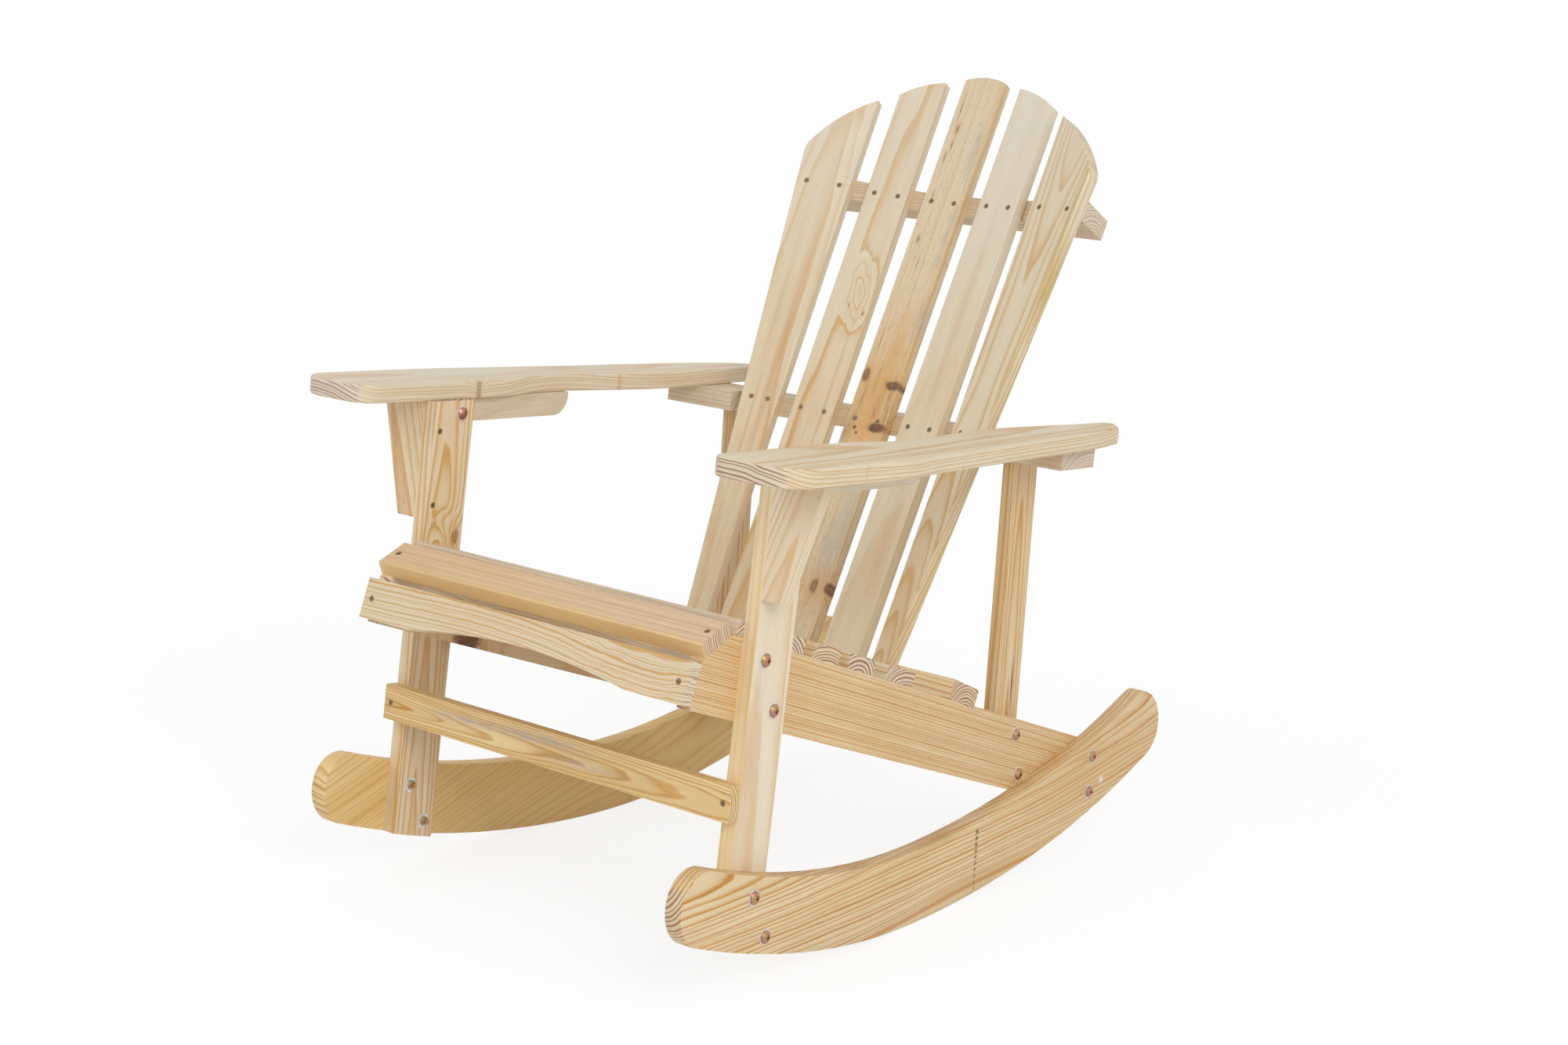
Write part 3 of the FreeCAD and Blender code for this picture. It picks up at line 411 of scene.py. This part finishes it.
def worn_metal(name):
    """Dull metal with darker grime in patches."""
    grime_scale, grime_edge, grime_roughness = 420.0, (0.4, 0.65), 0.25
    group, t, i, o = new_group(
        name, {"Vector": "Vector", "Base": "Color", "Grime Level": 0.72, "Polish": 0.3},
        {"Color": "Color", "Roughness": "Float"})
    grime = t.noise(i["Vector"], grime_scale, detail=3.0)[0]
    dark = t.vector("SCALE", i["Base"], scale=i["Grime Level"])
    t.put(o["Color"], t.mix(t.smooth(grime, *grime_edge), i["Base"], dark))
    t.put(o["Roughness"], t.plus(t.times(grime, grime_roughness), i["Polish"]))
    return group


# Boards

class Look(NamedTuple):
    """How one board was sawn out of the tree, and the marks on it."""
    tone: str                   # which pair of wood colours it has
    spacing: float              # mean distance between growth rings, mm
    across: float               # the pith's place to the side of the board's middle line, mm
    depth: float                # how far the pith lies under the board's middle, mm
    slopes: tuple = (0.0, 0.0)  # how fast the pith runs sideways and down along the board
    bows: tuple = (0.0, 0.0)    # the same for a bent pith, per metre of length
    wave: float = 4.0           # how far the rings wander, mm
    crowding: float = 0.0       # how much closer the rings are away from the middle
    strength: float = 0.9       # of the ring lines
    banding: float = 0.2        # of broad darker bands
    flecking: float = 0.1       # of short reddish dashes
    ends: float = 0.95          # strength of the rings on the sawn ends
    ease: float = 1.0           # how much rounder than usual its edges are
    marks: tuple = ()


class Branch(NamedTuple):
    """A knot, placed from the board's middle in mm."""
    along: float
    across: float
    radius: float
    stretch: float = 1.4        # how much longer than wide it is
    rise: float = 8.0           # how far it pushes the rings, mm
    reach: float = 2.4          # how far the push goes, in radii
    shown: float = 1.0          # strength of its colours


class Stain(NamedTuple):
    """A patch of colour that fades out, placed from the board's middle in mm."""
    tint: str
    along: float
    across: float
    length: float
    width: float
    amount: float
    broken: float = 0.5         # how much the grain breaks it up


def swirl(along, across, radius, stretch, rise, reach=1.0):
    """Rings that bend round a knot below the surface, which isn't seen itself."""
    return Branch(along, across, radius, stretch, rise, reach, 0.0)


def all_over(tint, amount):
    return Stain(tint, 0, 0, 900, 300, amount, 0.0)


def pale_top(amount):
    """The cooler, paler upper end of a back slat: a painted sheen in the chalk tint."""
    return Stain("chalk_and_sheen", 330, 0, 260, 200, amount, 0.0)


def stains(tint, *rows):
    """Patches of one tint, each given as along, across, length, width, amount and broken."""
    return [Stain(tint, *row) for row in rows]


def board_axes(obj):
    """Centre and the three directions of a board, longest first, from its own surface."""
    mesh = obj.data
    points = np.empty(len(mesh.vertices) * 3)
    mesh.vertices.foreach_get("co", points)
    mesh.calc_loop_triangles()
    corners = np.empty(len(mesh.loop_triangles) * 3, dtype=np.int32)
    mesh.loop_triangles.foreach_get("vertices", corners)
    a, b, c = (points.reshape(-1, 3)[corners.reshape(-1, 3)[:, k]] for k in range(3))
    area = np.linalg.norm(np.cross(b - a, c - a), axis=1)
    middle = (a + b + c) / 3
    centre = (middle * area[:, None]).sum(0) / area.sum()
    spread = np.cov((middle - centre).T, aweights=area)
    directions = np.linalg.eigh(spread)[1]
    along, thick = directions[:, 2], directions[:, 0]
    along = along * np.sign(along[np.argmax(abs(along))])
    thick = thick * np.sign(thick[np.argmax(abs(thick))])
    return Vector(centre), Matrix((along, np.cross(thick, along), thick)).transposed()


def add_branch(t, mark, vector, wood, push, layers):
    """A knot adds to the push on the rings, and its colours to the layers."""
    halo_share, rim_share, resin_in_heart = 0.6, 0.7, 0.35
    out = t.group(once("Pine knot", knot), Vector=vector, Radius=mark.radius * MM,
                  Centre=(mark.along * MM, mark.across * MM, 0), Stretch=mark.stretch,
                  Rise=mark.rise * MM, Reach=mark.reach)
    push = t.plus(out["Push"], push)
    if mark.shown:
        resin = tuple(wood.resin)
        heart = t.mix(t.times(out["Turns"], resin_in_heart), tuple(wood.knot), resin)
        layers.append((t.times(out["Halo"], mark.shown * halo_share), resin))
        layers.append((t.times(out["Heart"], mark.shown), heart))
        layers.append((t.times(out["Rim"], mark.shown * rim_share), tuple(wood.knot_rim)))
    return push


def add_stain(t, mark, vector, wood, layers):
    out = t.group(once("Soft patch", soft_patch), Vector=vector, Length=mark.length * MM,
                  Centre=(mark.along * MM, mark.across * MM, 0), Width=mark.width * MM,
                  Broken=mark.broken)
    layers.append((t.times(out["Mask"], mark.amount), tuple(getattr(wood, mark.tint))))


def grain_seed(name):
    """A place in the noise that belongs to this board's name."""
    number = sum(ord(letter) * (k + 3) for k, letter in enumerate(name))
    return number % 17 * 0.31, number % 23 * 0.17, number % 29 * 0.13


def pine_material(name, look, centre, axes):
    bump_strength, bump_height = 0.35, 0.12 * MM
    wood = bpy.context.scene.chair_wood
    material, t = new_material("Pine " + name.replace("_", " "))
    coords = t.node("ShaderNodeTexCoord").outputs
    place = t.node("ShaderNodeMapping", vector_type="TEXTURE")
    t.put(place.inputs["Vector"], coords["Object"])
    place.inputs["Location"].default_value = centre
    place.inputs["Rotation"].default_value = axes.to_euler()
    vector = place.outputs[0]
    seed = grain_seed(name)
    push, layers = 0.0, []
    for mark in look.marks:
        if isinstance(mark, Branch):
            push = add_branch(t, mark, vector, wood, push, layers)
        else:
            add_stain(t, mark, vector, wood, layers)
    rings = t.group(once("Pine growth rings", growth_rings), Vector=vector, Seed=seed,
                    Across=look.across * MM, Depth=look.depth * MM,
                    Across_Slope=look.slopes[0], Depth_Slope=look.slopes[1],
                    Across_Bow=look.bows[0], Depth_Bow=look.bows[1],
                    Ring_Spacing=look.spacing * MM, Crowding=look.crowding,
                    Wave=look.wave * MM, Push=push)
    fibre = t.group(once("Wood fibre", wood_fibre), Vector=vector, Seed=seed)
    ends = t.group(once("Sawn end", sawn_end), Normal=coords["Normal"], Along=tuple(axes.col[0]))
    board = t.group(once("Board colour", board_colour), Line=rings["Line"], Band=rings["Band"],
                    Streak=fibre["Streak"], Fleck=fibre["Fleck"], Mottle=fibre["Mottle"],
                    End=ends["Mask"], Strength=look.strength, Banding=look.banding,
                    Flecking=look.flecking, End_Lines=look.ends,
                    Pale=tuple(getattr(wood, look.tone + "_pale")),
                    Line_Colour=tuple(getattr(wood, look.tone + "_line")),
                    Fleck_Colour=tuple(wood.fleck), End_Dark=tuple(wood.end_dark))
    surface = board["Color"]
    for mask, tint in layers:
        surface = t.mix(mask, surface, tint)
    shader = t.node("ShaderNodeBsdfPrincipled")
    t.put(shader.inputs["Base Color"], surface)
    t.put(shader.inputs["Roughness"], board["Roughness"])
    shader.inputs["Specular IOR Level"].default_value = 0.5
    bump = t.node("ShaderNodeBump")
    bump.inputs["Strength"].default_value = bump_strength
    bump.inputs["Distance"].default_value = bump_height
    t.put(bump.inputs["Height"], board["Height"])
    t.put(shader.inputs["Normal"], bump.outputs[0])
    show(t, shader)
    return material


def ease_edges(obj, width):
    """Rounds the sharp edges a little, inward only."""
    weld = obj.modifiers.new("Joined faces", "WELD")
    weld.merge_threshold = 0.01 * MM
    bevel = obj.modifiers.new("Eased edges", "BEVEL")
    bevel.width = width
    bevel.segments = 2
    bevel.limit_method = "ANGLE"
    bevel.angle_limit = math.radians(40)
    bevel.harden_normals = True


def give_material(obj, material):
    obj.data.materials.clear()
    obj.data.materials.append(material)


def dress_boards(looks):
    radius = bpy.context.scene.chair_wood.edge_radius
    for node, look in looks.items():
        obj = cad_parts[node]
        give_material(obj, pine_material(node, look, *board_axes(obj)))
        ease_edges(obj, radius * look.ease)


# Metal

def metal_material(name, metallic, finish, **values):
    """A metal that takes its colour and roughness from a node group."""
    material, t = new_material(name)
    coords = t.node("ShaderNodeTexCoord").outputs["Object"]
    shader = t.node("ShaderNodeBsdfPrincipled")
    out = t.group(finish, Vector=coords, **values)
    t.put(shader.inputs["Base Color"], out["Color"])
    t.put(shader.inputs["Roughness"], out["Roughness"])
    shader.inputs["Metallic"].default_value = metallic
    show(t, shader)
    return material


# Studio

FLOOR_HALF = 30.0                  # metres
FLOOR_SPECK, FLOOR_SPECKLE = (0.85, 0.85, 0.85), 0.04
FLOOR_GLOW = 0.24                  # so that the floor is nearly white where it is seen
FADE_FROM, FADE_TO = 0.9, 2.4      # metres from the chair, where the floor turns pure white
FADE_NEAR = 0.75                   # share of white under the chair, the rest shows its shadow

# name, place, what it points at, width and the setting that holds its power
LAMPS = (
    ("Key lamp", (3.5, -2.25, 3.0), (0, 0, 0.45), 2.6, "key_power"),
    ("Side lamp", (4.2, -1.0, 1.1), (0, 0, 0.4), 2.4, "side_power"),
    ("Fill lamp", (-1.6, -3.6, 2.4), (0, 0, 0.5), 2.2, "fill_power"),
)


def area_lamp(name, location, target, size, power):
    lamp = bpy.data.lights.new(name, "AREA")
    lamp.shape = "DISK"
    lamp.size = size
    lamp.energy = power
    obj = bpy.data.objects.new(name, lamp)
    obj.location = location
    aim = Vector(target) - Vector(location)
    obj.rotation_euler = aim.to_track_quat("-Z", "Y").to_euler()
    bpy.context.scene.collection.objects.link(obj)


def studio_floor(stage):
    mesh = bpy.data.meshes.new("Studio floor")
    corners = [(x * FLOOR_HALF, y * FLOOR_HALF, 0) for x, y in ((-1, -1), (1, -1), (1, 1), (-1, 1))]
    mesh.from_pydata(corners, [], [(0, 1, 2, 3)])
    floor = bpy.data.objects.new("studio_floor", mesh)
    bpy.context.scene.collection.objects.link(floor)
    material, t = new_material("Studio floor")
    coords = t.node("ShaderNodeTexCoord").outputs["Object"]
    paint = t.node("ShaderNodeBsdfPrincipled")
    speckle = t.times(t.noise(coords, scale=40.0, detail=3.0)[0], FLOOR_SPECKLE)
    t.put(paint.inputs["Base Color"], t.mix(speckle, tuple(stage.floor), FLOOR_SPECK))
    paint.inputs["Roughness"].default_value = 0.9
    paint.inputs["Specular IOR Level"].default_value = 0.0
    seen = t.seen()
    glow = t.node("ShaderNodeEmission")
    t.put(glow.inputs["Strength"], t.times(seen, FLOOR_GLOW))
    glowing = t.node("ShaderNodeAddShader")
    t.put(glowing.inputs[0], paint.outputs[0])
    t.put(glowing.inputs[1], glow.outputs[0])
    white = t.node("ShaderNodeEmission")
    far = t.smooth(t.vector("LENGTH", coords), FADE_FROM, FADE_TO)
    share = t.plus(t.times(far, 1 - FADE_NEAR), FADE_NEAR)
    fade = t.node("ShaderNodeMixShader")
    t.put(fade.inputs[0], t.times(seen, share))
    t.put(fade.inputs[1], glowing.outputs[0])
    t.put(fade.inputs[2], white.outputs[0])
    show(t, fade)
    give_material(floor, material)


def studio_world(stage):
    """Soft light from all round, and plain white where it is seen."""
    world = bpy.data.worlds.new("Studio")
    bpy.context.scene.world = world
    world.use_nodes = True
    world.node_tree.nodes.clear()
    t = Tree(world.node_tree)
    sky = t.node("ShaderNodeBackground")
    sky.inputs["Color"].default_value = (1, 1, 1, 1)
    strength = t.node("ShaderNodeMapRange")
    t.put(strength.inputs["Value"], t.seen())
    t.put(strength.inputs["To Min"], stage.sky)
    t.put(strength.inputs["To Max"], 1.0)
    t.put(sky.inputs["Strength"], strength.outputs[0])
    t.put(t.node("ShaderNodeOutputWorld").inputs[0], sky.outputs[0])


def studio_camera(stage):
    camera = bpy.data.cameras.new("Camera")
    camera.lens = stage.lens
    camera.sensor_width = 36
    camera.clip_start = 0.05
    turn, height, roll = stage.camera_turn, stage.camera_height, stage.camera_roll
    back = Vector((math.sin(turn) * math.cos(height), -math.cos(turn) * math.cos(height),
                   math.sin(height)))
    level = Vector((math.cos(turn), math.sin(turn), 0))
    above = back.cross(level)
    right = level * math.cos(roll) + above * math.sin(roll)
    up = above * math.cos(roll) - level * math.sin(roll)
    turned = Matrix((right, up, back)).transposed().to_4x4()
    obj = bpy.data.objects.new("Camera", camera)
    obj.matrix_world = Matrix.Translation(stage.camera_location) @ turned
    bpy.context.scene.collection.objects.link(obj)
    bpy.context.scene.camera = obj


# Operators

def burnt_dots():
    """The row of dots across the near rocker, each a little smaller and fainter."""
    pitch, size, shrink, fade = 8.3, 3.1, 0.13, 0.03
    return [Stain("knot_rim", 62, 1 - pitch * k, size - shrink * k, size - shrink * k,
                  1 - fade * k, 0.0) for k in range(10)]


class CHAIR_OT_side_frames(bpy.types.Operator):
    """Legs, side rails, rear posts and rockers"""
    bl_idname = "chair.side_frames"
    bl_label = "Side frames"

    def execute(self, context):
        flames = stains("gold_line", (-201, 26, 60, 4.5, 0.45, 0.2), (-23, 14, 55, 4.5, 0.5, 0.2),
                        (330, 40, 60, 5.5, 0.45, 0.2))
        dress_boards({
            "rocker_left": Look(
                "warm", 5.0, 72, 45, (0.0, 0.02), (0.08, 0.0), wave=8, strength=1.0, banding=0.1,
                ends=0.85,
                marks=(*burnt_dots(), *flames, Stain("resin", 340, 10, 200, 90, 0.26, 0.0),
                       Stain("filler", 363, -1, 4.5, 4.5, 1.0, 0.0),
                       Stain("knot_rim", 320, 62, 2, 1, 0.8, 0.0))),
            "rocker_right": Look(
                "gold", 8.0, -70, 50, (0.32, 0.02), wave=7, strength=0.8, banding=0.3,
                marks=(all_over("amber", 0.6),)),
            "leg_left": Look(
                "white", 9, 25, 90, (0.0, 0.02), strength=0.6, banding=0.1, ease=2.6,
                marks=(all_over("chalk_and_sheen", 0.15), Stain("amber", 0, 37, 900, 5, 0.8, 0.0))),
            "leg_right": Look(
                "white", 5.6, 4, 16, (0.0, 0.03), wave=9, strength=0.95, ease=2.6,
                marks=(Branch(102, -22, 6, 1.6, 14, 3.2, 0.7), swirl(122, 1, 16, 1.3, 9),
                       Stain("resin", 102, -20, 22, 8, 0.5))),
            "side_rail_left": Look(
                "warm", 2.9, -210, 30, (-0.01, 0.0), wave=1.6, crowding=2.2, strength=1.0,
                flecking=0.4,
                marks=(all_over("resin", 0.09), Stain("tan", 60, -8, 160, 7, 0.35, 0.2),
                       Stain("resin", -330, 0, 70, 70, 0.3, 0.0))),
            "side_rail_right": Look(
                "white", 4.6, -40, 25, (0.0, 0.03), wave=6, strength=0.55,
                marks=(Branch(-285, -36, 14, 1.7, 20, 2.6),)),
            "post_left": Look(
                "warm", 3.8, 2, 12, (0.0, 0.01), wave=2, strength=0.85, ease=1.6,
                marks=(Stain("knot_rim", -78, -5.5, 34, 1.8, 1.0, 0.1),)),
            "post_right": Look("warm", 4.2, 8, 15, (0.0, 0.01), wave=3, strength=0.85, ease=1.6),
        })
        return {"FINISHED"}


class CHAIR_OT_arms(bpy.types.Operator):
    """Arm boards, their brackets and bars, and the rail behind that carries them"""
    bl_idname = "chair.arms"
    bl_label = "Arms"

    def execute(self, context):
        dress_boards({
            # The chalk tint laid all over the arm boards is a painted sheen, which lightens and
            # greys their tops.
            "arm_left": Look(
                "cream", 4.2, 25, 210, (0.0, 0.012), strength=0.85, banding=0.1,
                marks=(all_over("chalk_and_sheen", 0.12), Stain("olive", -224, -60, 3, 4, 0.5, 0.0))),
            "arm_right": Look(
                "cream", 4.0, 20, 190, (0.0, 0.012), strength=0.8, banding=0.1,
                marks=(all_over("chalk_and_sheen", 0.25), Branch(-157, -57, 3, 1.2, 5, 3.0, 0.4),
                       Stain("resin", 108, -43, 2.5, 30, 0.8, 0.3))),
            "arm_bracket_left": Look("white", 5.0, 12, 40, (0.02, 0.03), strength=0.7,
                                     marks=(all_over("chalk_and_sheen", 0.15),)),
            "arm_bracket_right": Look("warm", 5.0, -12, 55, (0.0, 0.02), wave=3, strength=0.6,
                                      flecking=0.9, marks=(all_over("chalk_and_sheen", 0.06),)),
            "arm_bar_left": Look("white", 6.0, 0, 90, (0.0, 0.01), strength=0.3, ease=1.5,
                                 marks=(all_over("chalk_and_sheen", 0.4),)),
            "arm_bar_right": Look("grey", 6.0, 6, 90, (0.0, 0.01), strength=0.3, ease=1.5),
            "arm_support_rail": Look("grey", 4.5, 15, 60, (0.0, 0.01), strength=0.6, flecking=0.3,
                                     ends=0.5, marks=(Stain("amber", 0, 0, 230, 100, 0.2, 0.0),)),
        })
        return {"FINISHED"}


class CHAIR_OT_seat(bpy.types.Operator):
    """Seat slats, the apron and the bar between the legs"""
    bl_idname = "chair.seat"
    bl_label = "Seat"

    def execute(self, context):
        dress_boards({
            "apron": Look("cream", 4.5, -170, 30, wave=2.0, banding=0.1, ends=0.6,
                          marks=(swirl(190, -6, 75, 1.5, -15), swirl(-60, 10, 60, 2.0, 5))),
            "footrest_bar": Look(
                "gold", 3.2, 6, 22, (0.02, 0.03), wave=11, strength=1.0, banding=0.3, flecking=0.3,
                marks=(all_over("amber", 0.2), *stains(
                    "blue_stain", (-120, -6, 60, 5, 0.7, 0.6), (-10, -10, 70, 6, 0.75, 0.6),
                    (60, 6, 60, 5, 0.6, 0.6)))),
            "seat_slat_1": Look(
                "pink", 2.8, 131.4, 10, (0.003, 0.0), wave=1.6, strength=0.95, flecking=0.2,
                marks=(*stains("amber", (0, -26, 900, 6, 0.7, 0.0), (-110, 0, 160, 40, 0.12, 0.0)),
                       *stains("gold_line", (-110, -26, 130, 5, 0.3, 0.3),
                               (150, -26, 110, 5, 0.4, 0.3)))),
            "seat_slat_2": Look("grey", 4.0, 8, 30, (0.0, 0.01), wave=5, strength=0.6,
                                marks=(Stain("blue_stain", -100, 0, 80, 12, 0.4),)),
            "seat_slat_3": Look("cream", 4.5, -6, 35, (0.0, 0.01), wave=5, strength=0.8),
            "seat_slat_4": Look("warm", 4.0, 10, 50, (0.0, 0.01), wave=5, strength=0.8),
            "seat_slat_5": Look("cream", 5.0, 0, 28, (0.0, 0.01), wave=5, strength=0.8),
            "seat_slat_6": Look("cream", 4.2, 20, 40, (0.0, 0.01), wave=5, strength=0.8),
        })
        return {"FINISHED"}


def middle_slat_marks():
    """Red streaks on one side of the middle slat, blue stain on the other, knots low down."""
    streaks = [Stain("fleck", *place, 0.95, 0.3) for place in (
        (365, -21, 22, 1.2), (336, -16, 9, 2.6), (313, -16, 8, 1.5), (295, -21, 7, 2.0),
        (238, -18, 10, 1.2), (175, -17, 5, 2.0), (140, -6, 12, 0.9), (30, -20, 14, 1.0))]
    blue = [Stain("blue_stain", *place, 0.5) for place in (
        (322, 22, 16, 4.5), (293, 23, 26, 5), (213, 25, 12, 4.5), (185, 23, 18, 3.5),
        (145, 23, 14, 4.0), (66, 27, 26, 6), (-230, 22, 90, 10), (-260, 8, 60, 8))]
    smears = stains("knot", (-100, -24, 24, 6, 0.75, 0.6), (-60, -18, 30, 4, 0.5, 0.7),
                    (-62, 10, 26, 5, 0.6, 0.7), (-24, -4, 22, 2.4, 0.5, 0.6))
    return (
        Stain("resin", -66, 0, 84, 36, 0.85, 0.1), *smears,
        *stains("resin", (20, 10, 60, 12, 0.6, 0.3), (-312, 14, 30, 24, 0.5, 0.3)),
        *streaks, *blue,
        Branch(-31, 22, 11, 0.6, 8, 2.0), Branch(-91, 19, 12, 0.55, 8, 2.0),
        *stains("knot_rim", (-34, 24, 3.5, 9, 0.8, 0.7), (-93, 14, 3, 9, 0.8, 0.7)),
        *stains("knot", (-52, 24, 26, 3, 0.7, 0.6), (-76, 27, 16, 3, 0.6, 0.6)),
        Branch(-22, -24, 5.5, 1.8, 6, shown=0.8), Branch(-95, -14, 2.6, 1.0, 4, shown=0.9),
        Branch(-102, -9, 2.0, 1.0, 3, shown=0.9), Branch(-312, 8, 6.0, 1.6, 8, shown=0.7),
        Branch(-312, 30, 5.5, 1.3, 8))


class CHAIR_OT_back(bpy.types.Operator):
    """Back slats and the rails behind them"""
    bl_idname = "chair.back"
    bl_label = "Back"

    def execute(self, context):
        dress_boards({
            "back_slat_1": Look(
                "cream", 6.5, -14, -90, (0.02, -0.016), wave=6, strength=0.5, banding=0.15,
                marks=(pale_top(0.3), *stains(
                    "gold_line", (-60, 8, 190, 7, 0.45, 0.1), (20, -12, 90, 4, 0.3, 0.2),
                    (-170, 22, 170, 4, 0.4, 0.2), (-120, -6, 150, 3, 0.35, 0.2)),
                    Stain("resin", 336, 18, 30, 9, 0.5, 0.2))),
            "back_slat_2": Look(
                "cream", 7.0, 14, -120, (0.03, -0.010), wave=6, strength=0.7, banding=0.1,
                marks=(pale_top(0.25), *stains(
                    "gold_line", (-160, -2, 170, 26, 0.14, 0.2), (-60, 16, 120, 2.5, 0.4, 0.2),
                    (-190, -16, 120, 3, 0.4, 0.2)),
                    swirl(92, 12, 13, 2.4, 20, 1.1), swirl(128, 0, 9, 2.2, 9, 1.1),
                    Branch(70, 25, 1.6, 1.4, 2, 2.0, 0.5), Stain("knot", 78, 1, 5, 0.8, 0.7, 0.0))),
            "back_slat_3": Look("cream", 2.6, 120, 20, wave=2, strength=0.6, flecking=0.8,
                                marks=(pale_top(0.1), *middle_slat_marks())),
            "back_slat_4": Look(
                "cream", 9.0, 10, -140, (0.0, -0.02), wave=6, strength=0.2, banding=0.1,
                marks=(pale_top(0.4), *stains("tan", (80, 4, 150, 6, 0.5, 0.1),
                                              (-225, 10, 90, 8, 0.5, 0.1)))),
            "back_slat_5": Look(
                "cream", 5.2, 0, -40, (0.02, -0.01), (0.0, 0.12), wave=5, strength=0.7,
                banding=0.25, marks=(pale_top(0.2), Stain("olive", 120, 38, 260, 3.5, 0.7, 0.2))),
            "lower_back_rail": Look("warm", 4.0, 10, 30, wave=3, strength=0.85),
            "upper_back_rail": Look(
                "grey", 4.5, 5, 50, strength=0.6, flecking=0.5, ends=0.5,
                marks=(Stain("amber", 0, 0, 230, 100, 0.2, 0.0),
                       Stain("knot", 121, -16, 4, 1.5, 0.8, 0.2))),
        })
        return {"FINISHED"}


class CHAIR_OT_fasteners(bpy.types.Operator):
    """Bolts, washers, nuts and wood screws"""
    bl_idname = "chair.fasteners"
    bl_label = "Fasteners"

    def execute(self, context):
        metal = context.scene.chair_metal
        zinc, worn = once("Zinc plating", plating), once("Worn metal", worn_metal)
        finishes = {
            "bolts": metal_material("Yellow zinc", 1.0, zinc, Gold=tuple(metal.bolt_gold),
                                    Pink=tuple(metal.bolt_pink)),
            "nuts": metal_material("Zinc nut", 0.9, worn, Base=tuple(metal.nut), Polish=0.3),
            "washers": metal_material("Bright zinc", 0.35, worn, Base=tuple(metal.washer),
                                      Polish=0.35),
            "screws": metal_material("Screw steel", 0.85, worn, Base=tuple(metal.screw),
                                     Polish=0.35),
        }
        for name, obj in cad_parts.items():
            kind = name.split("_")[-1]
            if kind in finishes:
                give_material(obj, finishes[kind])
        return {"FINISHED"}


class CHAIR_OT_stage(bpy.types.Operator):
    """Pale floor, soft lamps, white surroundings and the camera"""
    bl_idname = "chair.stage"
    bl_label = "Studio"

    def execute(self, context):
        stage = context.scene.chair_stage
        studio_floor(stage)
        studio_world(stage)
        studio_camera(stage)
        for name, location, target, size, power in LAMPS:
            area_lamp(name, location, target, size, getattr(stage, power))
        context.scene.view_settings.view_transform = "Standard"
        return {"FINISHED"}


# Panel and registration

OPERATORS = (CHAIR_OT_side_frames, CHAIR_OT_arms, CHAIR_OT_seat, CHAIR_OT_back,
             CHAIR_OT_fasteners, CHAIR_OT_stage)
SETTINGS = {"chair_wood": ChairWoodSettings, "chair_metal": ChairMetalSettings,
            "chair_stage": ChairStageSettings}


class CHAIR_PT_panel(bpy.types.Panel):
    """Settings and building steps of the rocking chair"""
    bl_idname = "CHAIR_PT_panel"
    bl_label = "Rocking chair"
    bl_space_type = "VIEW_3D"
    bl_region_type = "UI"
    bl_category = "Chair"

    def draw(self, context):
        for title, name in (("Wood", "chair_wood"), ("Metal", "chair_metal"),
                            ("Studio", "chair_stage")):
            settings = getattr(context.scene, name)
            box = self.layout.box()
            box.label(text=title)
            for prop in settings.bl_rna.properties:
                if prop.identifier not in ("rna_type", "name"):
                    box.prop(settings, prop.identifier)
        for operator in OPERATORS:
            self.layout.operator(operator.bl_idname)


def register():
    for cls in (*SETTINGS.values(), *OPERATORS, CHAIR_PT_panel):
        bpy.utils.register_class(cls)
    for name, cls in SETTINGS.items():
        setattr(bpy.types.Scene, name, PointerProperty(type=cls))


def unregister():
    for name in SETTINGS:
        delattr(bpy.types.Scene, name)
    for cls in (CHAIR_PT_panel, *reversed(OPERATORS), *reversed(list(SETTINGS.values()))):
        bpy.utils.unregister_class(cls)


def main():
    register()
    bpy.ops.chair.side_frames()
    bpy.ops.chair.arms()
    bpy.ops.chair.seat()
    bpy.ops.chair.back()
    bpy.ops.chair.fasteners()
    bpy.ops.chair.stage()


if __name__ == "__main__":
    main()
